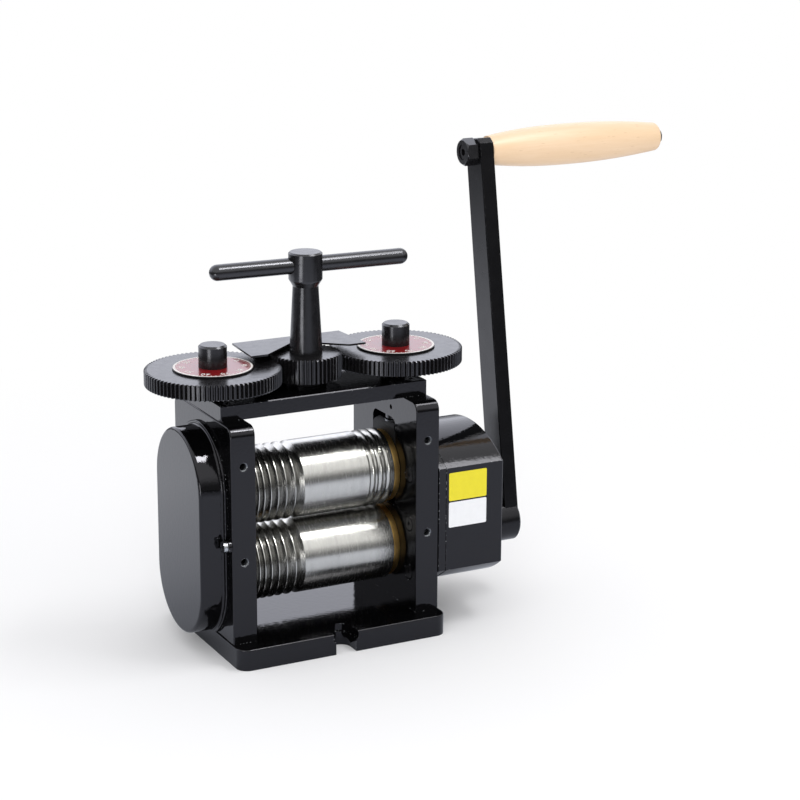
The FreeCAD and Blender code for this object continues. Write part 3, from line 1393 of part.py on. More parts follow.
def make_tee():
    shaft = "column_shaft_radius"
    groove = f"{shaft} - ring_groove_depth"
    ring_top = "frame_top - 0.4"
    ring_low = f"{ring_top} - ring_thickness - 0.1"
    corners = [("0", "column_bottom"), (f"{shaft} - 0.5", "column_bottom"), (shaft, "column_bottom + 0.5")]
    corners += [(shaft, ring_low), (groove, ring_low), (groove, ring_top), (shaft, ring_top)]
    corners += [(shaft, "pinion_top"), ("column_base_radius", "pinion_top")]
    corners += [("column_base_radius", "pinion_top + 1"), ("column_neck_radius", "neck_height")]
    corners += [("tee_hub_radius", "hub_bottom"), ("tee_hub_radius", "hub_top - 0.8")]
    corners += [("tee_hub_radius - 0.8", "hub_top"), ("0", "hub_top")]
    body = turned_body("column_blank", corners, "Z")
    cross = cylinder(
        "bar_hole", "tee_bar_radius + thread_clearance", "tee_hub_radius * 4", "0", "0", "bar_height", "X")
    turn = FreeCAD.Rotation(FreeCAD.Vector(0, 0, 1), number("tee_turn"))
    reach = turn.multVec(FreeCAD.Vector(-2 * number("tee_hub_radius"), 0, 0))
    cross.setExpression("Placement", None)
    for axis in "xyz":
        cross.setExpression(f"Placement.Base.{axis}", None)
    cross.Placement = FreeCAD.Placement(
        reach + FreeCAD.Vector(0, 0, number("bar_height")), turn.multiply(TURN_TO_X))
    key = (f"{shaft} - key_reach", "-key_width / 2", "pinion_bottom + 0.5")
    size = ("key_height", "key_width", "pinion_width - 1")
    seat = block("column_key_seat", *size, *key)
    subpart(cut("column_cut", body, [cross, seat]), "tee_column")
    subpart(block("column_key", *size, *key), "pinion_key")

    bar = "tee_bar_half_length"
    radius = "tee_bar_radius"
    corners = []
    for end, sign in ((f"-{bar}", -1), (bar, 1)):
        dome = []
        for step in range(DOME_STEPS + 1):
            angle = math.pi / 2 * step / DOME_STEPS
            out, up = round(math.cos(angle), 6), round(math.sin(angle), 6)
            across = f"{end} + tee_bar_shift + {radius} * ({sign * out})"
            dome.append((across, f"{radius} * {up}" if step else "0"))
        corners += dome if sign < 0 else dome[::-1]
    body = turned_body("tee_bar_blank", corners)
    body.Placement = FreeCAD.Placement(FreeCAD.Vector(), turn)
    bind(body, **{"Placement.Base.z": "bar_height"})
    subpart(body, "tee_bar")

    bore = number("column_shaft_radius") + number("thread_clearance")
    pinion = fine_gear("pinion_teeth", "pinion_width", bore)
    subpart(shaped("centre_pinion_shape", pinion, 0, 0, number("pinion_bottom")), "centre_pinion")

    flange = cylinder("bush_flange", "column_bush_flange_radius", "column_bush_flange", "0", "0", "plate_top")
    sleeve = cylinder("bush_sleeve", "column_bush_radius", "top_plate_thickness", "0", "0", "frame_top")
    hole = cylinder(
        "bush_hole", "column_shaft_radius + running_clearance", "30", "0", "0", "frame_top - 5")
    subpart(cut("column_bush_cut", fuse("column_bush_whole", [flange, sleeve]), [hole]), "column_bush")
    start = f"{ring_low} + 0.05"
    ring = cylinder("column_ring_outer", f"{shaft} + 2", "ring_thickness", "0", "0", start)
    inner = cylinder("column_ring_inner", f"{groove} + thread_clearance", "ring_thickness + 2", "0", "0",
                     f"{start} - 1")
    subpart(cut("column_ring_cut", ring, [inner]), "column_ring")


def make_pointer():
    """A bent sheet bracket on the top plate's back edge, with an arm over each gear."""
    body = new_body("pointer_blank")
    back = "(plate_back + pointer_thickness)"
    back_half = "(pointer_tip_half - pointer_arm_taper)"
    tip_inner = "(pointer_tip_half - pointer_tip_width)"
    corners = [(f"-{back_half}", back), ("-pointer_tip_half", "-pointer_tip_reach")]
    corners += [(f"-{tip_inner}", "-pointer_tip_reach"), ("0", "pointer_notch")]
    corners += [(tip_inner, "-pointer_tip_reach"), ("pointer_tip_half", "-pointer_tip_reach")]
    corners += [(back_half, back)]
    sketch = outline(body, "pointer_outline", "XY_Plane", corners)
    pad(body, sketch, "pointer_pad", "pointer_thickness")
    bind(body, **{"Placement.Base.z": "pointer_bottom"})
    leg = block(
        "pointer_leg", "2 * pointer_leg_half", "pointer_thickness",
        "pointer_top - frame_top - pointer_leg_foot", "-pointer_leg_half", "plate_back",
        "frame_top + pointer_leg_foot")
    tools = []
    screws = []
    for k, offset in enumerate(("-pointer_screw_offset", "pointer_screw_offset")):
        height = "pointer_screw_height"
        tools.append(cylinder(
            f"pointer_hole_{k}", "small_screw_bore", "4", offset, "plate_back - 1", height, "Y"))
        screws.append(cap_screw(
            f"pointer_screw_{k}", "small_screw_radius", "pointer_screw_head_radius",
            "pointer_screw_head", "pointer_thickness + pointer_screw_length - 1",
            offset, "plate_back - pointer_screw_length + 1", height, "Y"))
    subpart(cut("pointer_cut", fuse("pointer_whole", [body, leg]), tools), "pointer_plate")
    subpart(group("pointer_screw_set", screws), "pointer_screws")


# ---------------------------------------------------------------- build, check and write


def check_and_write():
    doc.recompute()
    for item in doc.Objects:
        if "Invalid" in item.State or "Error" in item.State:
            raise RuntimeError(f"{item.Name} failed: {item.State}")
    os.makedirs("parts", exist_ok=True)
    for item in subparts:
        shape = item.Shape
        if shape.isNull() or not shape.isValid() or not shape.Solids:
            raise RuntimeError(item.Label + " has no valid solid")
        shape.exportStep(os.path.join("parts", item.Label + ".step"))
    print(len(subparts), "sub-parts written")


fill_sheets()
make_base()
make_frames()
make_top_plate()
make_frame_screws()
make_rollers()
make_bearings()
make_springs()
make_roller_gears()
make_cover()
make_gearbox()
make_drive()
make_crank_shaft()
make_crank_arm()
make_handle()
make_grip()
make_pressure_screw("left", -1)
make_pressure_screw("right", 1)
make_tee()
make_pointer()
check_and_write()
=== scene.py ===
"""Looks for a hand-cranked jeweller's rolling mill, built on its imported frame."""

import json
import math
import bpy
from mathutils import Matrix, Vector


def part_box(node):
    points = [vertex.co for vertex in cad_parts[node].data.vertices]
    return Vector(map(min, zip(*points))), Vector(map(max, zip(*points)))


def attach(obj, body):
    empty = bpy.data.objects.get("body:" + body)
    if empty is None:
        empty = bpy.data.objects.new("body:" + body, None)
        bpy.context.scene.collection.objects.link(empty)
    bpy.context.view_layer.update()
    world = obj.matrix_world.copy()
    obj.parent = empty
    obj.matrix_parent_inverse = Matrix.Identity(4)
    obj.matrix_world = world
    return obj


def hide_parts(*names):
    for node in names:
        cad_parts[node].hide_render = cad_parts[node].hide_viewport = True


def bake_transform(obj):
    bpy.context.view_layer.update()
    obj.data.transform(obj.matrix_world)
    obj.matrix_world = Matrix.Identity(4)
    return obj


bl_info = {
    "name": "Rolling mill looks",
    "version": (1, 0, 0),
    "blender": (4, 5, 0),
    "location": "View3D > Sidebar > Rolling mill",
    "description": "Adds the finishes, dial print, labels and studio of a hand-cranked rolling mill",
    "category": "Object",
}

import bpy
from bpy.props import FloatProperty, FloatVectorProperty, IntProperty, PointerProperty, StringProperty
from mathutils import Matrix, Vector

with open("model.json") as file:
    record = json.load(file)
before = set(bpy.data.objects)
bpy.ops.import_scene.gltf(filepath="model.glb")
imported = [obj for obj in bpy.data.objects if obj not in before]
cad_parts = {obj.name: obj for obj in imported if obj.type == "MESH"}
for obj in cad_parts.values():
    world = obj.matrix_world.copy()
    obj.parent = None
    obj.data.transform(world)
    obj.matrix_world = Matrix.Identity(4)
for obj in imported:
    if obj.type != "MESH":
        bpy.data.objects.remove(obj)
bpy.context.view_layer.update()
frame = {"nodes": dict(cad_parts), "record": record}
MM = 0.001


# ---------------------------------------------------------------- where things are, read from the frame


def node_middle(node):
    """The middle of a node's box, in metres."""
    low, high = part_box(node)
    return (low + high) / 2


def node_top(node):
    """The height of a node's top, in metres."""
    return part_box(node)[1].z


LEFT_DIAL_AT = node_middle("left_dial")
RIGHT_DIAL_AT = node_middle("right_dial")
COLUMN_AT = node_middle("tee_column")
GRIP_AT = node_middle("handle_grip")
GEARBOX_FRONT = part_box("gearbox_cover")[0].y
GEARBOX_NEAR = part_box("gearbox_cover")[0].x
MOUNTS = frame["record"]["mounts"]
HOLES_AT = [mount["pos_m"] for mount in MOUNTS if mount["name"].startswith("accessory_hole")]


# ---------------------------------------------------------------- values a user would change


def hex_to_linear(colour):
    """A colour written as sRGB hex, as the linear values that Blender works in."""
    channels = [int(colour[k:k + 2], 16) / 255 for k in (1, 3, 5)]
    linear = [c / 12.92 if c <= 0.04045 else ((c + 0.055) / 1.055) ** 2.4 for c in channels]
    return (*linear, 1.0)


def colour_property(name, description, default):
    """A colour that a user can change, as sRGB hex."""
    return StringProperty(name=name, description=description, default=default)


def length_property(name, description, millimetres):
    """A length that a user can change, with its default in millimetres."""
    return FloatProperty(name=name, description=description, default=millimetres * MM, subtype="DISTANCE")


def angle_property(name, description, degrees):
    """An angle that a user can change, with its default in degrees."""
    return FloatProperty(name=name, description=description, default=math.radians(degrees), subtype="ANGLE")


class MILL_PG_colours(bpy.types.PropertyGroup):
    enamel: colour_property("Enamel", "Black stove enamel on the frame and the covers", "#060607")
    enamel_shine: colour_property("Enamel shine", "Cool tint of the enamel's shine", "#eeedf5")
    oxide: colour_property("Black oxide", "Blackened steel of the gears, screws and T-handle", "#0a0a0c")
    oxide_shine: colour_property("Oxide shine", "Cool tint of the blackened steel's shine", "#eeeff6")
    roller: colour_property("Roller steel", "Ground and polished roller steel", "#d2d1cc")
    machined: colour_property("Machined steel", "Plain steel of hidden parts, springs and threads", "#8f9296")
    bronze: colour_property("Bronze", "Bearing bronze of the bushes", "#e8bf74")
    dial: colour_property("Dial", "Printed red of the dials", "#8c1015")
    print_white: colour_property("Dial print", "White of the dial's ring and numbers", "#f2f0ee")
    zinc: colour_property("Zinc", "Zinc plating of the small cover screws", "#c9cccf")
    wood_pale: colour_property("Wood, pale", "Early wood of the beech grip", "#efd1b0")
    wood_dark: colour_property("Wood, dark", "Late wood of the beech grip", "#e4c195")
    label_yellow: colour_property("Upper label", "Blank upper label on the gearbox", "#e7d922")
    label_white: colour_property("Lower label", "Blank lower label on the gearbox", "#edeef1")
    floor: colour_property("Floor", "Pale studio floor", "#f4f4f6")


class MILL_PG_dial(bpy.types.PropertyGroup):
    ring_radius: length_property("Ring radius", "Outer radius of the white ring", 19.3)
    ring_width: length_property("Ring width", "Width of the white ring", 1.0)
    tick_count: IntProperty(name="Ticks", description="Graduations on one dial", default=50)
    tick_length: length_property("Tick length", "Length of one graduation", 1.3)
    tick_width: length_property("Tick width", "Width of one graduation", 0.28)
    number_count: IntProperty(name="Numbers", description="Numbers on one dial", default=10)
    number_size: length_property("Number size", "Height of the numbers", 4.4)
    number_radius: length_property("Number radius", "Radius of the ring of numbers", 14.9)
    number_weight: length_property("Number weight", "Widening of a number's strokes", 0.05)
    print_thickness: length_property("Print thickness", "Height of the print above the dial", 0.05)


class MILL_PG_label(bpy.types.PropertyGroup):
    width: length_property("Width", "Width of both labels", 21.4)
    upper_height: length_property("Upper height", "Height of the upper label", 14.6)
    lower_height: length_property("Lower height", "Height of the lower label", 13.2)
    start: length_property("Start", "Distance from the gearbox's near edge", 1.4)
    upper_foot: length_property("Upper foot", "Height of the upper label's lower edge", 67.0)
    lower_foot: length_property("Lower foot", "Height of the lower label's lower edge", 53.0)
    thickness: length_property("Thickness", "Thickness of a label", 0.12)
    corner: length_property("Corner", "Radius of a label's corners", 0.7)


class MILL_PG_spring(bpy.types.PropertyGroup):
    radius: length_property("Radius", "Radius to the middle of the wire", 1.85)
    wire: length_property("Wire", "Side of the spring's square wire", 0.7)
    half_turns: IntProperty(name="Half turns", description="Half turns of one spring", default=7)


class MILL_PG_thread(bpy.types.PropertyGroup):
    chamfer_radius: length_property("Chamfer radius", "Radius of a hole's chamfer at the face", 2.4)
    root_radius: length_property("Root radius", "Radius at the thread's root", 2.08)
    crest_radius: length_property("Crest radius", "Radius at the thread's crest", 1.8)
    pitch: length_property("Pitch", "Pitch of the thread", 0.8)
    depth: length_property("Depth", "Depth of the thread", 4.4)


class MILL_PG_stage(bpy.types.PropertyGroup):
    camera_at: FloatVectorProperty(name="Camera", description="Where the camera stands",
                                   default=(-0.4612, -0.9940, 0.4295), subtype="TRANSLATION")
    camera_azimuth: angle_property("Azimuth", "Camera's turn about the vertical", -27.318)
    camera_elevation: angle_property("Elevation", "Camera's height above the horizon", 15.864)
    camera_roll: angle_property("Roll", "Camera's roll", 0.272)
    lens: FloatProperty(name="Lens", description="Focal length in millimetres on a 36 mm sensor",
                        default=103.4)
    floor_size: length_property("Floor size", "Side of the square floor", 8000)


GROUPS = {
    "mill_colours": MILL_PG_colours,
    "mill_dial": MILL_PG_dial,
    "mill_label": MILL_PG_label,
    "mill_spring": MILL_PG_spring,
    "mill_thread": MILL_PG_thread,
    "mill_stage": MILL_PG_stage,
}


# ---------------------------------------------------------------- small tools


def deselect_all():
    bpy.ops.object.select_all(action="DESELECT")


def edit_all():
    """Opens the active mesh for editing, with everything on it selected."""
    bpy.ops.object.mode_set(mode="EDIT")
    bpy.ops.mesh.select_all(action="SELECT")


def stop_editing():
    bpy.ops.object.mode_set(mode="OBJECT")


def point_faces(inwards=False):
    """Points all faces of the mesh being edited outwards, or inwards on the wall of a hole."""
    bpy.ops.mesh.select_all(action="SELECT")
    bpy.ops.mesh.normals_make_consistent(inside=inwards)


def settle():
    """Moves the selected object's place, turn and scale into its mesh."""
    bpy.ops.object.transform_apply(location=True, rotation=True, scale=True)


def copy_to(piece, step):
    """A copy of a finished piece with its own mesh, moved by a step."""
    deselect_all()
    piece.select_set(True)
    bpy.context.view_layer.objects.active = piece
    bpy.ops.object.duplicate()
    bpy.ops.transform.translate(value=step)
    settle()
    return bpy.context.object


def join(pieces, name):
    """Joins pieces into the first of them and names it."""
    deselect_all()
    for piece in pieces:
        piece.select_set(True)
    bpy.context.view_layer.objects.active = pieces[0]
    bpy.ops.object.join()
    pieces[0].name = name
    return pieces[0]


def add_node(tree, kind, inputs=None, **settings):
    """One shader node with its settings, its input values and its links from other sockets."""
    node = tree.nodes.new(kind)
    for key, value in settings.items():
        setattr(node, key, value)
    for key, value in (inputs or {}).items():
        if isinstance(value, bpy.types.NodeSocket):
            tree.links.new(value, node.inputs[key])
        else:
            node.inputs[key].default_value = value
    return node


def new_material(name):
    """An empty material, with its node tree."""
    material = bpy.data.materials.new(name)
    material.use_nodes = True
    tree = material.node_tree
    tree.nodes.clear()
    return material, tree


def object_place(tree, centre=(0, 0, 0), scale=(1, 1, 1)):
    """Object coordinates, centred on a point and stretched."""
    place = add_node(tree, "ShaderNodeTexCoord")
    moved = add_node(tree, "ShaderNodeMapping", {
        "Vector": place.outputs["Object"], "Location": [-c for c in centre]})
    return add_node(tree, "ShaderNodeMapping", {"Vector": moved.outputs["Vector"], "Scale": scale})


# ---------------------------------------------------------------- materials

# Second colours of the finishes: what shows through, or what the first colour shades into.
BARE_STEEL = "#a9acb0"
DUST = "#3a3b3d"
PALE_OXIDE = "#191819"
PHOSPHATE = "#0d0d0e"
PALE_PHOSPHATE = "#1b1b1b"
HANDLED_STEEL = "#b9b8b5"
DIAL_EDGE = "#0c0c0d"
DIAL_MOTTLE = "#780c11"
INK_SHADE = "#dcd6d2"
BEECH_FLECK = "#b98e5c"
YELLOW_SHADE = "#ddcf1e"
WHITE_SHADE = "#e4e5e8"
TARNISH = {"bronze": "#c79a52", "machined": "#6c6e72", "zinc": "#9ea2a6", "spring": "#5d5f63",
           "tapped": "#4c4e52"}

DIAL_FACE_RADIUS = 19.35 * MM
WAVES_AT_SCALE_ONE = 20 / (2 * math.pi)   # rings that a Wave texture draws in one metre at scale 1


def edge_chips(tree, place):
    """A mask of small chips strung along the edges, where paint wears through first."""
    rounded = add_node(tree, "ShaderNodeBevel", {"Radius": 0.5 * MM}, samples=4)
    plain = add_node(tree, "ShaderNodeNewGeometry")
    along = add_node(tree, "ShaderNodeVectorMath", {
        0: rounded.outputs["Normal"], 1: plain.outputs["Normal"]}, operation="DOT_PRODUCT")
    edge = add_node(tree, "ShaderNodeMapRange", {
        "Value": along.outputs["Value"], "From Min": 0.98, "From Max": 0.90})
    spots = add_node(tree, "ShaderNodeTexNoise", {
        "Vector": place.outputs["Vector"], "Scale": 1 / (1.1 * MM), "Detail": 2.0, "Roughness": 0.6})
    broken = add_node(tree, "ShaderNodeMapRange", {
        "Value": spots.outputs["Fac"], "From Min": 0.59, "From Max": 0.65})
    mask = add_node(tree, "ShaderNodeMath", {
        0: edge.outputs["Result"], 1: broken.outputs["Result"]}, operation="MULTIPLY")
    return mask.outputs["Value"]


def black_stove_enamel(colours):
    """Gloss black stove enamel: deep black, wet highlights, faint orange peel, dust specks, edge chips."""
    material, tree = new_material("black_stove_enamel")
    place = object_place(tree)
    peel = add_node(tree, "ShaderNodeTexNoise", {
        "Vector": place.outputs["Vector"], "Scale": 1 / (1.7 * MM), "Detail": 3.0, "Roughness": 0.55})
    haze = add_node(tree, "ShaderNodeTexNoise", {
        "Vector": place.outputs["Vector"], "Scale": 1 / (22 * MM), "Detail": 3.0, "Roughness": 0.6})
    rough = add_node(tree, "ShaderNodeMapRange", {
        "Value": haze.outputs["Fac"], "From Min": 0.3, "From Max": 0.75, "To Min": 0.035, "To Max": 0.07})
    specks = add_node(tree, "ShaderNodeTexVoronoi", {
        "Vector": place.outputs["Vector"], "Scale": 1 / (5.5 * MM)}, feature="F1")
    dust = add_node(tree, "ShaderNodeMapRange", {
        "Value": specks.outputs["Distance"], "From Min": 0.018, "From Max": 0.03,
        "To Min": 0.25, "To Max": 0.0})
    colour = add_node(tree, "ShaderNodeMix", {
        "Factor": dust.outputs["Result"], "A": hex_to_linear(colours.enamel),
        "B": hex_to_linear(DUST)}, data_type="RGBA")
    chips = edge_chips(tree, place)
    chipped = add_node(tree, "ShaderNodeMix", {
        "Factor": chips, "A": colour.outputs["Result"], "B": hex_to_linear(BARE_STEEL)}, data_type="RGBA")
    bump = add_node(tree, "ShaderNodeBump", {
        "Height": peel.outputs["Fac"], "Strength": 0.25, "Distance": 0.2 * MM})
    shader = add_node(tree, "ShaderNodeBsdfPrincipled", {
        "Base Color": chipped.outputs["Result"], "Roughness": rough.outputs["Result"],
        "Normal": bump.outputs["Normal"], "Specular Tint": hex_to_linear(colours.enamel_shine), "IOR": 1.5})
    add_node(tree, "ShaderNodeOutputMaterial", {"Surface": shader.outputs["BSDF"]})
    return material


def black_oxide_steel(colours, name="black_oxide_steel", centre=None):
    """Blackened steel: a dense iron oxide film, near-black and satin, with turning marks where it is round.

    The grain and the marks are drawn coarser than real ones, so that they show at all.
    """
    material, tree = new_material(name)
    place = object_place(tree)
    mottle = add_node(tree, "ShaderNodeTexNoise", {
        "Vector": place.outputs["Vector"], "Scale": 1 / (4 * MM), "Detail": 4.0, "Roughness": 0.6})
    colour = add_node(tree, "ShaderNodeMix", {
        "Factor": mottle.outputs["Fac"], "A": hex_to_linear(colours.oxide),
        "B": hex_to_linear(PALE_OXIDE)}, data_type="RGBA")
    rough = add_node(tree, "ShaderNodeMapRange", {
        "Value": mottle.outputs["Fac"], "From Min": 0.3, "From Max": 0.7, "To Min": 0.18, "To Max": 0.26})
    grain = add_node(tree, "ShaderNodeTexNoise", {
        "Vector": place.outputs["Vector"], "Scale": 1 / (0.7 * MM), "Detail": 2.0, "Roughness": 0.5})
    height = grain.outputs["Fac"]
    if centre is not None:
        middle = object_place(tree, centre)
        rings = add_node(tree, "ShaderNodeTexWave", {
            "Vector": middle.outputs["Vector"], "Scale": 1 / (WAVES_AT_SCALE_ONE * 0.55 * MM),
            "Distortion": 0.4, "Detail": 1.0, "Detail Scale": 2.0}, wave_type="RINGS", rings_direction="Z")
        both = add_node(tree, "ShaderNodeMath", {0: rings.outputs["Fac"], 1: height}, operation="ADD")
        height = both.outputs["Value"]
    bump = add_node(tree, "ShaderNodeBump", {"Height": height, "Strength": 0.05, "Distance": 0.08 * MM})
    shader = add_node(tree, "ShaderNodeBsdfPrincipled", {
        "Base Color": colour.outputs["Result"], "Roughness": rough.outputs["Result"],
        "Normal": bump.outputs["Normal"], "Specular Tint": hex_to_linear(colours.oxide_shine), "IOR": 1.7})
    add_node(tree, "ShaderNodeOutputMaterial", {"Surface": shader.outputs["BSDF"]})
    return material


def satin_enamel(colours):
    """Satin black enamel on the crank: the same black as the frame, with a softer and dimmer shine."""
    material, tree = new_material("satin_black_enamel")
    place = object_place(tree)
    haze = add_node(tree, "ShaderNodeTexNoise", {
        "Vector": place.outputs["Vector"], "Scale": 1 / (9 * MM), "Detail": 3.0, "Roughness": 0.6})
    rough = add_node(tree, "ShaderNodeMapRange", {
        "Value": haze.outputs["Fac"], "From Min": 0.3, "From Max": 0.7, "To Min": 0.2, "To Max": 0.28})
    peel = add_node(tree, "ShaderNodeTexNoise", {
        "Vector": place.outputs["Vector"], "Scale": 1 / (1.2 * MM), "Detail": 2.0, "Roughness": 0.5})
    bump = add_node(tree, "ShaderNodeBump", {
        "Height": peel.outputs["Fac"], "Strength": 0.08, "Distance": 0.12 * MM})
    chipped = add_node(tree, "ShaderNodeMix", {
        "Factor": edge_chips(tree, place), "A": hex_to_linear(colours.enamel),
        "B": hex_to_linear(BARE_STEEL)}, data_type="RGBA")
    shader = add_node(tree, "ShaderNodeBsdfPrincipled", {
        "Base Color": chipped.outputs["Result"], "Roughness": rough.outputs["Result"],
        "Normal": bump.outputs["Normal"], "Specular Tint": hex_to_linear(colours.enamel_shine), "IOR": 1.45})
    add_node(tree, "ShaderNodeOutputMaterial", {"Surface": shader.outputs["BSDF"]})
    return material


def phosphated_steel():
    """Phosphated steel of the chocks: matt black, hardly any shine, a grain drawn coarse enough to show."""
    material, tree = new_material("phosphated_steel")
    place = object_place(tree)
    grain = add_node(tree, "ShaderNodeTexNoise", {
        "Vector": place.outputs["Vector"], "Scale": 1 / (0.5 * MM), "Detail": 3.0, "Roughness": 0.6})
    mottle = add_node(tree, "ShaderNodeTexNoise", {
        "Vector": place.outputs["Vector"], "Scale": 1 / (5 * MM), "Detail": 3.0, "Roughness": 0.6})
    colour = add_node(tree, "ShaderNodeMix", {
        "Factor": mottle.outputs["Fac"], "A": hex_to_linear(PHOSPHATE),
        "B": hex_to_linear(PALE_PHOSPHATE)}, data_type="RGBA")
    bump = add_node(tree, "ShaderNodeBump", {
        "Height": grain.outputs["Fac"], "Strength": 0.2, "Distance": 0.05 * MM})
    shader = add_node(tree, "ShaderNodeBsdfPrincipled", {
        "Base Color": colour.outputs["Result"], "Roughness": 0.55, "Normal": bump.outputs["Normal"],
        "Specular IOR Level": 0.25, "IOR": 1.5})
    add_node(tree, "ShaderNodeOutputMaterial", {"Surface": shader.outputs["BSDF"]})
    return material


def ground_roller_steel(colours):
    """Hardened roller steel, ground and polished: bright, with grinding lines coarse enough to show."""
    material, tree = new_material("ground_roller_steel")
    fine = object_place(tree, scale=(1, 0.03, 0.03))
    lines = add_node(tree, "ShaderNodeTexNoise", {
        "Vector": fine.outputs["Vector"], "Scale": 1 / (0.16 * MM), "Detail": 2.0, "Roughness": 0.6})
    bands = add_node(tree, "ShaderNodeTexNoise", {
        "Vector": fine.outputs["Vector"], "Scale": 1 / (2.6 * MM), "Detail": 2.0, "Roughness": 0.5})
    place = object_place(tree)
    handled = add_node(tree, "ShaderNodeTexNoise", {
        "Vector": place.outputs["Vector"], "Scale": 1 / (9 * MM), "Detail": 4.0, "Roughness": 0.65})
    rough = add_node(tree, "ShaderNodeMapRange", {
        "Value": lines.outputs["Fac"], "From Min": 0.3, "From Max": 0.7, "To Min": 0.2, "To Max": 0.28})
    tone = add_node(tree, "ShaderNodeMath", {
        0: bands.outputs["Fac"], 1: handled.outputs["Fac"]}, operation="MULTIPLY")
    share = add_node(tree, "ShaderNodeMapRange", {
        "Value": tone.outputs["Value"], "From Min": 0.12, "From Max": 0.42, "To Min": 0.0, "To Max": 0.5})
    colour = add_node(tree, "ShaderNodeMix", {
        "Factor": share.outputs["Result"], "A": hex_to_linear(colours.roller),
        "B": hex_to_linear(HANDLED_STEEL)}, data_type="RGBA")
    bump = add_node(tree, "ShaderNodeBump", {
        "Height": lines.outputs["Fac"], "Strength": 1.0, "Distance": 0.034 * MM})
    shader = add_node(tree, "ShaderNodeBsdfPrincipled", {
        "Base Color": colour.outputs["Result"], "Metallic": 1.0, "Roughness": rough.outputs["Result"],
        "Normal": bump.outputs["Normal"]})
    add_node(tree, "ShaderNodeOutputMaterial", {"Surface": shader.outputs["BSDF"]})
    return material


def turned_metal(name, colour_hex, dark_hex, roughness, spacing, depth=0.006 * MM):
    """Plain turned metal: tool marks round the X axis, at a spacing that shows, and slight tarnish."""
    material, tree = new_material(name)
    marks_place = object_place(tree, scale=(1, 0.05, 0.05))
    marks = add_node(tree, "ShaderNodeTexNoise", {
        "Vector": marks_place.outputs["Vector"], "Scale": 1 / spacing, "Detail": 2.0, "Roughness": 0.6})
    place = object_place(tree)
    tarnish = add_node(tree, "ShaderNodeTexNoise", {
        "Vector": place.outputs["Vector"], "Scale": 1 / (5 * MM), "Detail": 4.0, "Roughness": 0.6})
    share = add_node(tree, "ShaderNodeMapRange", {
        "Value": tarnish.outputs["Fac"], "From Min": 0.35, "From Max": 0.7, "To Min": 0.0, "To Max": 0.6})
    colour = add_node(tree, "ShaderNodeMix", {
        "Factor": share.outputs["Result"], "A": hex_to_linear(colour_hex),
        "B": hex_to_linear(dark_hex)}, data_type="RGBA")
    rough = add_node(tree, "ShaderNodeMapRange", {
        "Value": tarnish.outputs["Fac"], "From Min": 0.3, "From Max": 0.7,
        "To Min": roughness, "To Max": roughness + 0.1})
    bump = add_node(tree, "ShaderNodeBump", {
        "Height": marks.outputs["Fac"], "Strength": 1.0, "Distance": depth})
    shader = add_node(tree, "ShaderNodeBsdfPrincipled", {
        "Base Color": colour.outputs["Result"], "Metallic": 1.0, "Roughness": rough.outputs["Result"],
        "Normal": bump.outputs["Normal"]})
    add_node(tree, "ShaderNodeOutputMaterial", {"Surface": shader.outputs["BSDF"]})
    return material


def printed_dial(colours, name, centre):
    """Screen-printed aluminium dial under clear lacquer: red face, dark edge, wet highlight."""
    material, tree = new_material(name)
    middle = object_place(tree, (centre.x, centre.y, 0), (1, 1, 0))
    reach = add_node(tree, "ShaderNodeVectorMath", {0: middle.outputs["Vector"]}, operation="LENGTH")
    face = add_node(tree, "ShaderNodeMath", {
        0: reach.outputs["Value"], 1: DIAL_FACE_RADIUS}, operation="LESS_THAN")
    ink = add_node(tree, "ShaderNodeTexNoise", {
        "Vector": middle.outputs["Vector"], "Scale": 1 / (1.2 * MM), "Detail": 3.0})
    red = add_node(tree, "ShaderNodeMix", {
        "Factor": ink.outputs["Fac"], "A": hex_to_linear(colours.dial),
        "B": hex_to_linear(DIAL_MOTTLE)}, data_type="RGBA")
    colour = add_node(tree, "ShaderNodeMix", {
        "Factor": face.outputs["Value"], "A": hex_to_linear(DIAL_EDGE),
        "B": red.outputs["Result"]}, data_type="RGBA")
    shader = add_node(tree, "ShaderNodeBsdfPrincipled", {
        "Base Color": colour.outputs["Result"], "Roughness": 0.3, "Coat Weight": 0.5,
        "Coat Roughness": 0.06, "IOR": 1.5})
    add_node(tree, "ShaderNodeOutputMaterial", {"Surface": shader.outputs["BSDF"]})
    return material


def dial_ink(colours):
    """White screen ink: matt, very slightly uneven."""
    material, tree = new_material("white_screen_ink")
    place = object_place(tree)
    uneven = add_node(tree, "ShaderNodeTexNoise", {
        "Vector": place.outputs["Vector"], "Scale": 1 / (0.8 * MM), "Detail": 2.0})
    colour = add_node(tree, "ShaderNodeMix", {
        "Factor": uneven.outputs["Fac"], "A": hex_to_linear(colours.print_white),
        "B": hex_to_linear(INK_SHADE)}, data_type="RGBA")
    shader = add_node(tree, "ShaderNodeBsdfPrincipled", {
        "Base Color": colour.outputs["Result"], "Roughness": 0.45, "IOR": 1.5})
    add_node(tree, "ShaderNodeOutputMaterial", {"Surface": shader.outputs["BSDF"]})
    return material


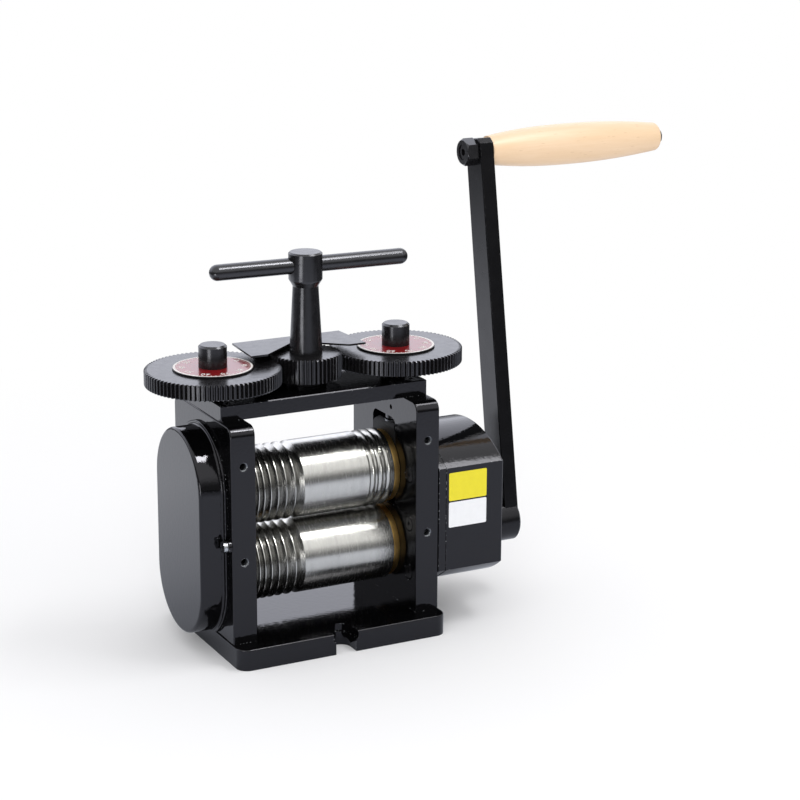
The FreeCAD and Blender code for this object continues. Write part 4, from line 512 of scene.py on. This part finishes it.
def varnished_beech(colours, centre):
    """Turned beech with a thin satin varnish: grain along the grip, short dark flecks, soft growth bands."""
    material, tree = new_material("varnished_beech")
    along = object_place(tree, centre, (0.10, 1, 1))
    growth = add_node(tree, "ShaderNodeTexNoise", {
        "Vector": along.outputs["Vector"], "Scale": 1 / (7 * MM), "Detail": 3.0, "Roughness": 0.55,
        "Distortion": 0.6})
    streaks = object_place(tree, centre, (0.035, 1, 1))
    fibres = add_node(tree, "ShaderNodeTexNoise", {
        "Vector": streaks.outputs["Vector"], "Scale": 1 / (0.7 * MM), "Detail": 3.0, "Roughness": 0.6})
    fleck_place = object_place(tree, centre, (0.16, 1, 1))
    flecks = add_node(tree, "ShaderNodeTexVoronoi", {
        "Vector": fleck_place.outputs["Vector"], "Scale": 1 / (1.5 * MM)}, feature="F1")
    fleck = add_node(tree, "ShaderNodeMapRange", {
        "Value": flecks.outputs["Distance"], "From Min": 0.08, "From Max": 0.17,
        "To Min": 0.3, "To Max": 0.0})
    share = add_node(tree, "ShaderNodeMapRange", {
        "Value": growth.outputs["Fac"], "From Min": 0.35, "From Max": 0.68, "To Min": 0.0, "To Max": 0.55})
    base = add_node(tree, "ShaderNodeMix", {
        "Factor": share.outputs["Result"], "A": hex_to_linear(colours.wood_pale),
        "B": hex_to_linear(colours.wood_dark)}, data_type="RGBA")
    lines = add_node(tree, "ShaderNodeMapRange", {
        "Value": fibres.outputs["Fac"], "From Min": 0.4, "From Max": 0.75, "To Min": 0.0, "To Max": 0.35})
    grained = add_node(tree, "ShaderNodeMix", {
        "Factor": lines.outputs["Result"], "A": base.outputs["Result"],
        "B": hex_to_linear(colours.wood_dark)}, data_type="RGBA")
    colour = add_node(tree, "ShaderNodeMix", {
        "Factor": fleck.outputs["Result"], "A": grained.outputs["Result"],
        "B": hex_to_linear(BEECH_FLECK)}, data_type="RGBA")
    bump = add_node(tree, "ShaderNodeBump", {
        "Height": fibres.outputs["Fac"], "Strength": 0.12, "Distance": 0.06 * MM})
    shader = add_node(tree, "ShaderNodeBsdfPrincipled", {
        "Base Color": colour.outputs["Result"], "Roughness": 0.42, "Normal": bump.outputs["Normal"],
        "Coat Weight": 0.25, "Coat Roughness": 0.3, "IOR": 1.5})
    add_node(tree, "ShaderNodeOutputMaterial", {"Surface": shader.outputs["BSDF"]})
    return material


def label_film(name, colour_hex, shade_hex):
    """Blank adhesive film: smooth, slightly uneven, satin."""
    material, tree = new_material(name)
    place = object_place(tree)
    uneven = add_node(tree, "ShaderNodeTexNoise", {
        "Vector": place.outputs["Vector"], "Scale": 1 / (3 * MM), "Detail": 3.0})
    colour = add_node(tree, "ShaderNodeMix", {
        "Factor": uneven.outputs["Fac"], "A": hex_to_linear(colour_hex),
        "B": hex_to_linear(shade_hex)}, data_type="RGBA")
    bump = add_node(tree, "ShaderNodeBump", {
        "Height": uneven.outputs["Fac"], "Strength": 0.08, "Distance": 0.1 * MM})
    shader = add_node(tree, "ShaderNodeBsdfPrincipled", {
        "Base Color": colour.outputs["Result"], "Roughness": 0.35, "Normal": bump.outputs["Normal"],
        "IOR": 1.5})
    add_node(tree, "ShaderNodeOutputMaterial", {"Surface": shader.outputs["BSDF"]})
    return material


# ---------------------------------------------------------------- finishing the carried-over nodes

ENAMELLED = ("base_plate", "left_side_frame", "right_side_frame", "top_plate", "left_gear_cover",
             "gearbox_back_plate", "gearbox_cover")
PHOSPHATED = ("upper_left_chock", "upper_right_chock")
BLACKENED = ("crank_pinion_shaft", "column_bush", "crank_grub_screw",
             "handle_bolt", "handle_nut", "tee_bar", "pointer_plate", "pointer_screws", "top_plate_screws",
             "base_screws", "gearbox_screws", "column_ring", "upper_roller_gear_ring",
             "lower_roller_gear_ring", "output_gear_ring")
BLACKENED_ROUND = {
    "left": ("left_screw_gear", "left_pressure_screw"),
    "right": ("right_screw_gear", "right_pressure_screw"),
    "middle": ("centre_pinion", "tee_column"),
}
BRONZE = ("lower_left_bush", "lower_right_bush", "upper_left_bush", "upper_right_bush",
          "crank_shaft_bush", "layshaft_bushes")
BRIGHT = ("upper_roller", "lower_roller")
MACHINED = ("upper_roller_gear", "lower_roller_gear", "output_gear", "layshaft_gear", "layshaft_pinion",
            "layshaft", "layshaft_keys", "upper_roller_gear_key", "lower_roller_gear_key", "output_gear_key",
            "pinion_key", "left_gear_key", "right_gear_key", "thrust_pads", "return_springs")
# Widths in millimetres of the broken edges of nodes that the frame leaves sharp.
EDGE_WIDTHS = {
    "gearbox_back_plate": 0.3, "upper_left_chock": 0.3, "upper_right_chock": 0.3, "handle_nut": 0.2,
    "pointer_plate": 0.12, "lower_left_bush": 0.3, "lower_right_bush": 0.3, "upper_left_bush": 0.3,
    "upper_right_bush": 0.3, "column_bush": 0.3, "left_dial": 0.12, "right_dial": 0.12,
}
SMOOTH_ANGLE = math.radians(32)
FACET_GAP = 0.002 * MM


def paint(node_names, material):
    """Gives carried-over nodes one material."""
    for name in node_names:
        mesh = frame["nodes"][name].data
        mesh.materials.clear()
        mesh.materials.append(material)


def soften(name):
    """Joins a node's loose triangles, rounds its edges where it has a width, and smooths its curves."""
    piece = frame["nodes"][name]
    weld = piece.modifiers.new("join_facets", "WELD")
    weld.merge_threshold = FACET_GAP
    width = EDGE_WIDTHS.get(name)
    if width:
        bevel = piece.modifiers.new("broken_edges", "BEVEL")
        bevel.width = width * MM
        bevel.segments = 2
        bevel.limit_method = "ANGLE"
        bevel.angle_limit = SMOOTH_ANGLE
        bevel.use_clamp_overlap = True
        bevel.miter_outer = "MITER_ARC"
    split = piece.modifiers.new("crisp_edges", "EDGE_SPLIT")
    split.split_angle = SMOOTH_ANGLE
    piece.modifiers.new("flat_faces_stay_flat", "WEIGHTED_NORMAL")
    for face in piece.data.polygons:
        face.use_smooth = True


class MILL_OT_finish_frame(bpy.types.Operator):
    """Give every carried-over node its finish and its broken edges"""

    bl_idname = "rolling_mill.finish_frame"
    bl_label = "Finish the frame"

    def execute(self, context):
        colours = context.scene.mill_colours
        paint(ENAMELLED, black_stove_enamel(colours))
        paint(BLACKENED, black_oxide_steel(colours))
        paint(PHOSPHATED, phosphated_steel())
        paint(("crank_arm",), satin_enamel(colours))
        for side, centre in (("left", LEFT_DIAL_AT), ("right", RIGHT_DIAL_AT), ("middle", COLUMN_AT)):
            material = black_oxide_steel(colours, f"turned_oxide_{side}", (centre.x, centre.y, 0))
            paint(BLACKENED_ROUND[side], material)
        paint(BRIGHT, ground_roller_steel(colours))
        bronze = turned_metal("bearing_bronze", colours.bronze, TARNISH["bronze"],
                              roughness=0.32, spacing=0.16 * MM, depth=0.03 * MM)
        paint(BRONZE, bronze)
        machined = turned_metal("machined_steel", colours.machined, TARNISH["machined"],
                                roughness=0.3, spacing=0.6 * MM)
        paint(MACHINED, machined)
        zinc = turned_metal("zinc_plated_steel", colours.zinc, TARNISH["zinc"],
                            roughness=0.22, spacing=0.4 * MM)
        paint(("cover_screws",), zinc)
        paint(("left_dial",), printed_dial(colours, "printed_dial_left", LEFT_DIAL_AT))
        paint(("right_dial",), printed_dial(colours, "printed_dial_right", RIGHT_DIAL_AT))
        paint(("handle_grip",), varnished_beech(colours, GRIP_AT))
        for name in frame["nodes"]:
            soften(name)
        return {"FINISHED"}


# ---------------------------------------------------------------- dial print

DIAL_RING_SIDES = 96
NUMBER_CURVE_STEPS = 3
FIRST_NUMBER_TURN = 0.31   # radians from the X axis to the number 0
NUMBER_STEP = 10
DOUBLES = 0.001 * MM


def flat_ring(outer, inner, centre, sides):
    """A flat ring: a circle whose edge is extruded inwards."""
    deselect_all()
    bpy.ops.mesh.primitive_circle_add(vertices=sides, radius=outer, fill_type="NOTHING", location=centre)
    ring = bpy.context.object
    settle()
    edit_all()
    bpy.ops.mesh.extrude_region_move()
    share = inner / outer
    bpy.ops.transform.resize(value=(share, share, 1), center_override=centre)
    stop_editing()
    return ring


def ticks(dial, centre):
    """Graduations: one narrow plane inside the ring, spun round the dial's axis as copies."""
    deselect_all()
    outer = dial.ring_radius - dial.ring_width
    middle = (centre[0] + outer - dial.tick_length / 2, centre[1], centre[2])
    bpy.ops.mesh.primitive_plane_add(size=1, location=middle)
    marks = bpy.context.object
    marks.scale = (dial.tick_length, dial.tick_width, 1)
    settle()
    edit_all()
    bpy.ops.mesh.spin(steps=dial.tick_count, dupli=True, angle=2 * math.pi, center=centre, axis=(0, 0, 1))
    bpy.ops.mesh.select_all(action="SELECT")
    bpy.ops.mesh.remove_doubles(threshold=DOUBLES)
    stop_editing()
    return marks


def number_mark(text, dial, centre, turn):
    """One plain number, its foot towards the dial's middle."""
    deselect_all()
    reach = dial.number_radius
    at = (centre[0] + reach * math.cos(turn), centre[1] + reach * math.sin(turn), centre[2])
    bpy.ops.object.text_add(location=at, rotation=(0, 0, turn - math.pi / 2))
    mark = bpy.context.object
    mark.data.body = text
    mark.data.size = dial.number_size
    mark.data.offset = dial.number_weight
    mark.data.align_x = "CENTER"
    mark.data.align_y = "CENTER"
    mark.data.resolution_u = NUMBER_CURVE_STEPS
    bpy.ops.object.convert(target="MESH")
    settle()
    return bpy.context.object


def turn_upwards(flat):
    """Flips the faces of a flat print that look down, so that its thickness is laid on top."""
    bpy.ops.object.mode_set(mode="EDIT")
    bpy.ops.mesh.select_all(action="DESELECT")
    stop_editing()
    for face in flat.data.polygons:
        face.select = face.normal.z < 0
    bpy.ops.object.mode_set(mode="EDIT")
    bpy.ops.mesh.flip_normals()
    stop_editing()


class MILL_OT_add_dial_print(bpy.types.Operator):
    """Print the white ring, graduations and plain numbers on both dials"""

    bl_idname = "rolling_mill.add_dial_print"
    bl_label = "Dial print"

    def execute(self, context):
        dial = context.scene.mill_dial
        ink = dial_ink(context.scene.mill_colours)
        for side, middle in (("left", LEFT_DIAL_AT), ("right", RIGHT_DIAL_AT)):
            centre = (middle.x, middle.y, node_top(f"{side}_dial"))
            inner_radius = dial.ring_radius - dial.ring_width
            marks = [flat_ring(dial.ring_radius, inner_radius, centre, DIAL_RING_SIDES), ticks(dial, centre)]
            for k in range(dial.number_count):
                turn = 2 * math.pi * k / dial.number_count + FIRST_NUMBER_TURN
                marks.append(number_mark(str(NUMBER_STEP * k), dial, centre, turn))
            printed = join(marks, f"{side}_dial_print")
            edit_all()
            point_faces()
            stop_editing()
            turn_upwards(printed)
            thick = printed.modifiers.new("thickness", "SOLIDIFY")
            thick.thickness = dial.print_thickness
            thick.offset = 1
            bpy.ops.object.modifier_apply(modifier=thick.name)
            printed.data.materials.clear()
            printed.data.materials.append(ink)
            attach(printed, f"{side}_screw")
        return {"FINISHED"}


# ---------------------------------------------------------------- blank labels

LABEL_CORNER_STEPS = 4


def label_plate(name, height, foot, sizes, material):
    """A thin blank label with rounded corners, flat on the gearbox's front."""
    deselect_all()
    middle = (GEARBOX_NEAR + sizes.start + sizes.width / 2, GEARBOX_FRONT, foot + height / 2)
    bpy.ops.mesh.primitive_plane_add(size=1, location=middle, rotation=(math.pi / 2, 0, 0))
    label = bpy.context.object
    label.name = name
    label.scale = (sizes.width, height, 1)
    settle()
    edit_all()
    bpy.ops.mesh.bevel(offset=sizes.corner, segments=LABEL_CORNER_STEPS, affect="VERTICES")
    bpy.ops.mesh.extrude_region_move(TRANSFORM_OT_translate={"value": (0, -sizes.thickness, 0)})
    point_faces()
    stop_editing()
    label.data.materials.append(material)
    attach(label, "frame")


class MILL_OT_add_labels(bpy.types.Operator):
    """Stick the two blank labels on the gearbox's front"""

    bl_idname = "rolling_mill.add_labels"
    bl_label = "Blank labels"

    def execute(self, context):
        sizes = context.scene.mill_label
        colours = context.scene.mill_colours
        yellow = label_film("yellow_label_film", colours.label_yellow, YELLOW_SHADE)
        white = label_film("white_label_film", colours.label_white, WHITE_SHADE)
        label_plate("upper_label", sizes.upper_height, sizes.upper_foot, sizes, yellow)
        label_plate("lower_label", sizes.lower_height, sizes.lower_foot, sizes, white)
        return {"FINISHED"}


# ---------------------------------------------------------------- return springs

STEPS_IN_HALF_TURN = 14
WIRE_SIDES = 4


class MILL_OT_add_springs(bpy.types.Operator):
    """Wind the four return springs, which stretch between the frame and the chocks"""

    bl_idname = "rolling_mill.add_springs"
    bl_label = "Return springs"

    def execute(self, context):
        sizes = context.scene.mill_spring
        low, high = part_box("return_springs")
        reach = sizes.radius + sizes.wire / 2
        right = high.x - reach
        back = high.y - reach
        deselect_all()
        bpy.ops.mesh.primitive_plane_add(
            size=1, location=(right, back, low.z + sizes.wire / 2), rotation=(math.pi / 2, 0, 0))
        spring = bpy.context.object
        spring.scale = (sizes.wire, sizes.wire, 1)
        bpy.ops.object.transform_apply(location=False, rotation=True, scale=True)
        edit_all()
        bpy.ops.transform.translate(value=(sizes.radius, 0, 0))
        bpy.ops.mesh.delete(type="ONLY_FACE")
        stop_editing()
        wind = spring.modifiers.new("coil", "SCREW")
        wind.angle = math.pi
        wind.iterations = sizes.half_turns
        wind.screw_offset = (high.z - low.z - sizes.wire) / sizes.half_turns
        wind.steps = STEPS_IN_HALF_TURN
        wind.use_merge_vertices = False
        bpy.ops.object.modifier_apply(modifier=wind.name)
        settle()
        edit_all()
        bpy.ops.mesh.fill_holes(sides=WIRE_SIDES)
        bpy.ops.mesh.normals_make_consistent(inside=False)
        stop_editing()
        machined = context.scene.mill_colours.machined
        spring.data.materials.append(
            turned_metal("spring_steel", machined, TARNISH["spring"], roughness=0.28, spacing=0.3 * MM))
        others = [copy_to(spring, step) for step in (
            (0, -2 * back, 0), (-2 * right, 0, 0), (-2 * right, -2 * back, 0))]
        join([spring, *others], "wound_return_springs")
        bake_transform(spring)
        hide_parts("return_springs")
        return {"FINISHED"}


# ---------------------------------------------------------------- tapped holes

THREAD_SIDES = 32
CHAMFER_PROUD = 0.02 * MM   # the chamfer's edge lies this far outside the frame's front face


class MILL_OT_add_threads(bpy.types.Operator):
    """Line the four accessory holes with a bright chamfer and a thread"""

    bl_idname = "rolling_mill.add_threads"
    bl_label = "Hole threads"

    def execute(self, context):
        sizes = context.scene.mill_thread
        machined = context.scene.mill_colours.machined
        steel = turned_metal("bare_tapped_steel", machined, TARNISH["tapped"],
                             roughness=0.25, spacing=0.4 * MM)
        x, y, z = HOLES_AT[0]
        mouth = (x, y - CHAMFER_PROUD, z)
        deselect_all()
        bpy.ops.mesh.primitive_circle_add(
            vertices=THREAD_SIDES, radius=sizes.chamfer_radius, fill_type="NOTHING", location=mouth,
            rotation=(math.pi / 2, 0, 0))
        thread = bpy.context.object
        settle()
        edit_all()
        radius = sizes.chamfer_radius
        turns = int(sizes.depth / sizes.pitch)
        for reach in [sizes.crest_radius, sizes.root_radius] * turns:
            bpy.ops.mesh.extrude_region_move(TRANSFORM_OT_translate={"value": (0, sizes.pitch / 2, 0)})
            share = reach / radius
            bpy.ops.transform.resize(value=(share, 1, share), center_override=mouth)
            radius = reach
        point_faces(inwards=True)
        stop_editing()
        thread.data.materials.append(steel)
        for k, (across, front, up) in enumerate(HOLES_AT):
            copy = copy_to(thread, (across - x, front - y, up - z)) if k else thread
            copy.name = f"accessory_thread_{k + 1}"
            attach(copy, "frame")
        return {"FINISHED"}


# ---------------------------------------------------------------- stage

WHITE = (1.0, 1.0, 1.0, 1.0)
BLACK = (0.0, 0.0, 0.0, 1.0)
COOL_WHITE = (0.94, 0.96, 1.06, 1.0)
COOL_FLOOR = "#dbdfea"
PLAIN_LEVEL = 0.91         # light that the studio's walls give to matt surfaces
FLOOR_DROP = 0.02 * MM     # keeps the floor clear of the base plate's underside
FLOOR_LIFT = 0.03          # a small glow, so that the open floor renders white
FADE_SHIFT = 0.1           # the floor fades to white round a point this far left of the middle
PATCH_SHIFT = 0.08         # the floor that mirrors see lies round a point this far left of the middle


def seen_directly(tree):
    """Masks: seen by the camera or through glass, seen in a mirror, and the loss in a mirror of a mirror."""
    path = add_node(tree, "ShaderNodeLightPath")
    both = add_node(tree, "ShaderNodeMath", {
        0: path.outputs["Is Camera Ray"], 1: path.outputs["Is Transmission Ray"]}, operation="MAXIMUM")
    deep = add_node(tree, "ShaderNodeMapRange", {
        "Value": path.outputs["Glossy Depth"], "From Min": 1.0, "From Max": 2.0,
        "To Min": 1.0, "To Max": 0.3})
    return both.outputs["Value"], path.outputs["Is Glossy Ray"], deep.outputs["Result"]


def studio_world():
    """White behind the object; in reflections a white cove behind and above, and the dim studio in front."""
    world = bpy.data.worlds.new("studio")
    bpy.context.scene.world = world
    world.use_nodes = True
    tree = world.node_tree
    tree.nodes.clear()
    seen, glossy, deep = seen_directly(tree)
    way = add_node(tree, "ShaderNodeTexCoord")
    parts = add_node(tree, "ShaderNodeSeparateXYZ", {"Vector": way.outputs["Generated"]})
    front = add_node(tree, "ShaderNodeMapRange", {
        "Value": parts.outputs["Z"], "From Min": 0.10, "From Max": 0.45, "To Min": 0.16, "To Max": 1.1},
        interpolation_type="SMOOTHSTEP")
    behind = add_node(tree, "ShaderNodeMapRange", {
        "Value": parts.outputs["Y"], "From Min": 0.15, "From Max": 0.6}, interpolation_type="SMOOTHSTEP")
    backdrop = add_node(tree, "ShaderNodeMapRange", {
        "Value": parts.outputs["Z"], "From Min": 0.06, "From Max": 0.22, "To Min": 0.5, "To Max": 1.75},
        interpolation_type="SMOOTHSTEP")
    mirrored = add_node(tree, "ShaderNodeMix", {
        "Factor": behind.outputs["Result"], "A": front.outputs["Result"],
        "B": backdrop.outputs["Result"]}, data_type="FLOAT")
    dimmed = add_node(tree, "ShaderNodeMath", {0: mirrored.outputs["Result"], 1: deep}, operation="MULTIPLY")
    plain = add_node(tree, "ShaderNodeMix", {
        "Factor": glossy, "A": PLAIN_LEVEL, "B": dimmed.outputs["Value"]}, data_type="FLOAT")
    level = add_node(tree, "ShaderNodeMix", {
        "Factor": seen, "A": plain.outputs["Result"], "B": 1.0}, data_type="FLOAT")
    cool = add_node(tree, "ShaderNodeMath", {
        0: behind.outputs["Result"], 1: glossy}, operation="MULTIPLY")
    colour = add_node(tree, "ShaderNodeMix", {
        "Factor": cool.outputs["Value"], "A": WHITE, "B": COOL_WHITE}, data_type="RGBA")
    light = add_node(tree, "ShaderNodeBackground", {
        "Color": colour.outputs["Result"], "Strength": level.outputs["Result"]})
    add_node(tree, "ShaderNodeOutputWorld", {"Surface": light.outputs["Background"]})


def floor_in_mirrors(tree, parts, deep):
    """How bright reflections see the floor: as a lit patch under the mill and a darker studio round it."""
    near_front = add_node(tree, "ShaderNodeMapRange", {
        "Value": parts.outputs["Y"], "From Min": -0.6, "From Max": -0.25, "To Min": 0.55, "To Max": 1.12})
    far_back = add_node(tree, "ShaderNodeMapRange", {
        "Value": parts.outputs["Y"], "From Min": 0.5, "From Max": 1.1, "To Min": 1.0, "To Max": 0.2})
    moved = add_node(tree, "ShaderNodeMath", {0: parts.outputs["X"], 1: PATCH_SHIFT}, operation="ADD")
    across = add_node(tree, "ShaderNodeMath", {0: moved.outputs["Value"]}, operation="ABSOLUTE")
    sides = add_node(tree, "ShaderNodeMapRange", {
        "Value": across.outputs["Value"], "From Min": 0.35, "From Max": 0.6, "To Min": 1.0, "To Max": 0.12})
    edges = add_node(tree, "ShaderNodeMath", {
        0: far_back.outputs["Result"], 1: sides.outputs["Result"]}, operation="MULTIPLY")
    limits = add_node(tree, "ShaderNodeMath", {0: edges.outputs["Value"], 1: deep}, operation="MULTIPLY")
    ends = add_node(tree, "ShaderNodeMath", {
        0: near_front.outputs["Result"], 1: limits.outputs["Value"]}, operation="MULTIPLY")
    return ends.outputs["Value"], limits.outputs["Value"]


def pale_floor(colours):
    """Matt pale floor: keeps the shadow, fades to white further off, and in mirrors glows like a cove."""
    material, tree = new_material("pale_floor")
    seen, glossy, deep = seen_directly(tree)
    place = object_place(tree)
    parts = add_node(tree, "ShaderNodeSeparateXYZ", {"Vector": place.outputs["Vector"]})
    mirrored, limits = floor_in_mirrors(tree, parts, deep)
    share = add_node(tree, "ShaderNodeMix", {"Factor": glossy, "A": 1.0, "B": mirrored}, data_type="FLOAT")
    cool = add_node(tree, "ShaderNodeMix", {
        "Factor": glossy, "A": hex_to_linear(colours.floor), "B": hex_to_linear(COOL_FLOOR)},
        data_type="RGBA")
    colour = add_node(tree, "ShaderNodeMix", {
        "Factor": share.outputs["Result"], "A": BLACK, "B": cool.outputs["Result"]}, data_type="RGBA")
    cove = add_node(tree, "ShaderNodeMapRange", {
        "Value": parts.outputs["Y"], "From Min": 0.05, "From Max": 0.25, "To Min": 0.0, "To Max": 0.45})
    cove_share = add_node(tree, "ShaderNodeMath", {
        0: cove.outputs["Result"], 1: limits}, operation="MULTIPLY")
    cove_seen = add_node(tree, "ShaderNodeMath", {
        0: cove_share.outputs["Value"], 1: glossy}, operation="MULTIPLY")
    lift = add_node(tree, "ShaderNodeMath", {
        0: seen, 1: FLOOR_LIFT, 2: cove_seen.outputs["Value"]}, operation="MULTIPLY_ADD")
    matt = add_node(tree, "ShaderNodeBsdfDiffuse", {"Color": colour.outputs["Result"]})
    glow = add_node(tree, "ShaderNodeEmission", {"Color": WHITE, "Strength": lift.outputs["Value"]})
    both = add_node(tree, "ShaderNodeAddShader", {0: matt.outputs["BSDF"], 1: glow.outputs["Emission"]})
    shifted = add_node(tree, "ShaderNodeMapping", {
        "Vector": place.outputs["Vector"], "Location": (FADE_SHIFT, 0.0, 0.0)})
    reach = add_node(tree, "ShaderNodeVectorMath", {0: shifted.outputs["Vector"]}, operation="LENGTH")
    far = add_node(tree, "ShaderNodeMapRange", {
        "Value": reach.outputs["Value"], "From Min": 0.17, "From Max": 0.55},
        interpolation_type="SMOOTHSTEP")
    far_seen = add_node(tree, "ShaderNodeMath", {0: far.outputs["Result"], 1: seen}, operation="MULTIPLY")
    white = add_node(tree, "ShaderNodeEmission", {"Color": WHITE, "Strength": 1.0})
    shown = add_node(tree, "ShaderNodeMixShader", {
        0: far_seen.outputs["Value"], 1: both.outputs["Shader"], 2: white.outputs["Emission"]})
    add_node(tree, "ShaderNodeOutputMaterial", {"Surface": shown.outputs["Shader"]})
    return material


def studio_floor(colours, size):
    """A square floor just under the base plate."""
    deselect_all()
    bpy.ops.mesh.primitive_plane_add(size=size, location=(0, 0, -FLOOR_DROP))
    floor = bpy.context.object
    floor.name = "floor"
    settle()
    floor.data.materials.append(pale_floor(colours))


def soft_lamp(name, at, towards, width, height, power):
    """A rectangular lamp that looks at a point and isn't seen itself."""
    deselect_all()
    bpy.ops.object.light_add(type="AREA", location=at)
    lamp = bpy.context.object
    lamp.name = name
    lamp.data.shape = "RECTANGLE"
    lamp.data.size = width
    lamp.data.size_y = height
    lamp.data.energy = power
    lamp.visible_camera = False
    way = Vector(towards) - Vector(at)
    lamp.rotation_euler = way.to_track_quat("-Z", "Y").to_euler()
    return lamp


def studio_lamps():
    """One softbox above, two lamps that only show as highlights, and a large fill that only lights."""
    soft_lamp("top_softbox", (0.50, -0.27, 1.18), towards=(0.0, 0.0, 0.08), width=0.5, height=0.24,
              power=2.4)
    strip = soft_lamp("left_strip", (-0.36, -0.25, 0.085), towards=(0.0, 0.0, 0.085), width=0.16,
                      height=0.11, power=0.24)
    strip.visible_diffuse = False
    rim = soft_lamp("rim_lamp", (0.30, -0.46, 1.02), towards=(-0.07, -0.02, 0.1), width=0.14, height=0.26,
                    power=2.6)
    rim.visible_diffuse = False
    fill = soft_lamp("front_fill", (-0.9, -1.6, 0.9), towards=(0.0, 0.0, 0.1), width=1.0, height=1.0,
                     power=9.0)
    fill.visible_glossy = False


def studio_camera(sizes):
    """The camera, turned about the vertical, then raised, then rolled."""
    camera_data = bpy.data.cameras.new("camera")
    camera = bpy.data.objects.new("camera", camera_data)
    bpy.context.scene.collection.objects.link(camera)
    turn = Matrix.Rotation(sizes.camera_azimuth, 4, "Z")
    tilt = Matrix.Rotation(math.pi / 2 - sizes.camera_elevation, 4, "X")
    roll = Matrix.Rotation(sizes.camera_roll, 4, "Z")
    camera.matrix_world = Matrix.Translation(sizes.camera_at) @ turn @ tilt @ roll
    camera_data.sensor_width = 36
    camera_data.lens = sizes.lens
    camera_data.clip_start = 0.01
    camera_data.clip_end = 50
    bpy.context.scene.camera = camera


class MILL_OT_set_stage(bpy.types.Operator):
    """Build the floor, the soft lamps, the world and the camera"""

    bl_idname = "rolling_mill.set_stage"
    bl_label = "Stage"

    def execute(self, context):
        sizes = context.scene.mill_stage
        studio_world()
        studio_floor(context.scene.mill_colours, sizes.floor_size)
        studio_lamps()
        studio_camera(sizes)
        context.scene.view_settings.view_transform = "Standard"
        return {"FINISHED"}


# ---------------------------------------------------------------- add-on


class MILL_PT_panel(bpy.types.Panel):
    bl_idname = "MILL_PT_panel"
    bl_label = "Rolling mill"
    bl_space_type = "VIEW_3D"
    bl_region_type = "UI"
    bl_category = "Rolling mill"

    def draw(self, context):
        for name in GROUPS:
            box = self.layout.box()
            group = getattr(context.scene, name)
            for key in group.__annotations__:
                box.prop(group, key)
        for operator in OPERATORS:
            self.layout.operator(operator.bl_idname)


OPERATORS = (MILL_OT_set_stage, MILL_OT_finish_frame, MILL_OT_add_dial_print, MILL_OT_add_labels,
             MILL_OT_add_springs, MILL_OT_add_threads)


def register():
    for name, group in GROUPS.items():
        bpy.utils.register_class(group)
        setattr(bpy.types.Scene, name, PointerProperty(type=group))
    for operator in OPERATORS:
        bpy.utils.register_class(operator)
    bpy.utils.register_class(MILL_PT_panel)


def unregister():
    bpy.utils.unregister_class(MILL_PT_panel)
    for operator in reversed(OPERATORS):
        bpy.utils.unregister_class(operator)
    for name, group in GROUPS.items():
        delattr(bpy.types.Scene, name)
        bpy.utils.unregister_class(group)


def main():
    register()
    bpy.ops.rolling_mill.set_stage()
    bpy.ops.rolling_mill.finish_frame()
    bpy.ops.rolling_mill.add_dial_print()
    bpy.ops.rolling_mill.add_labels()
    bpy.ops.rolling_mill.add_springs()
    bpy.ops.rolling_mill.add_threads()


if __name__ == "__main__":
    main()
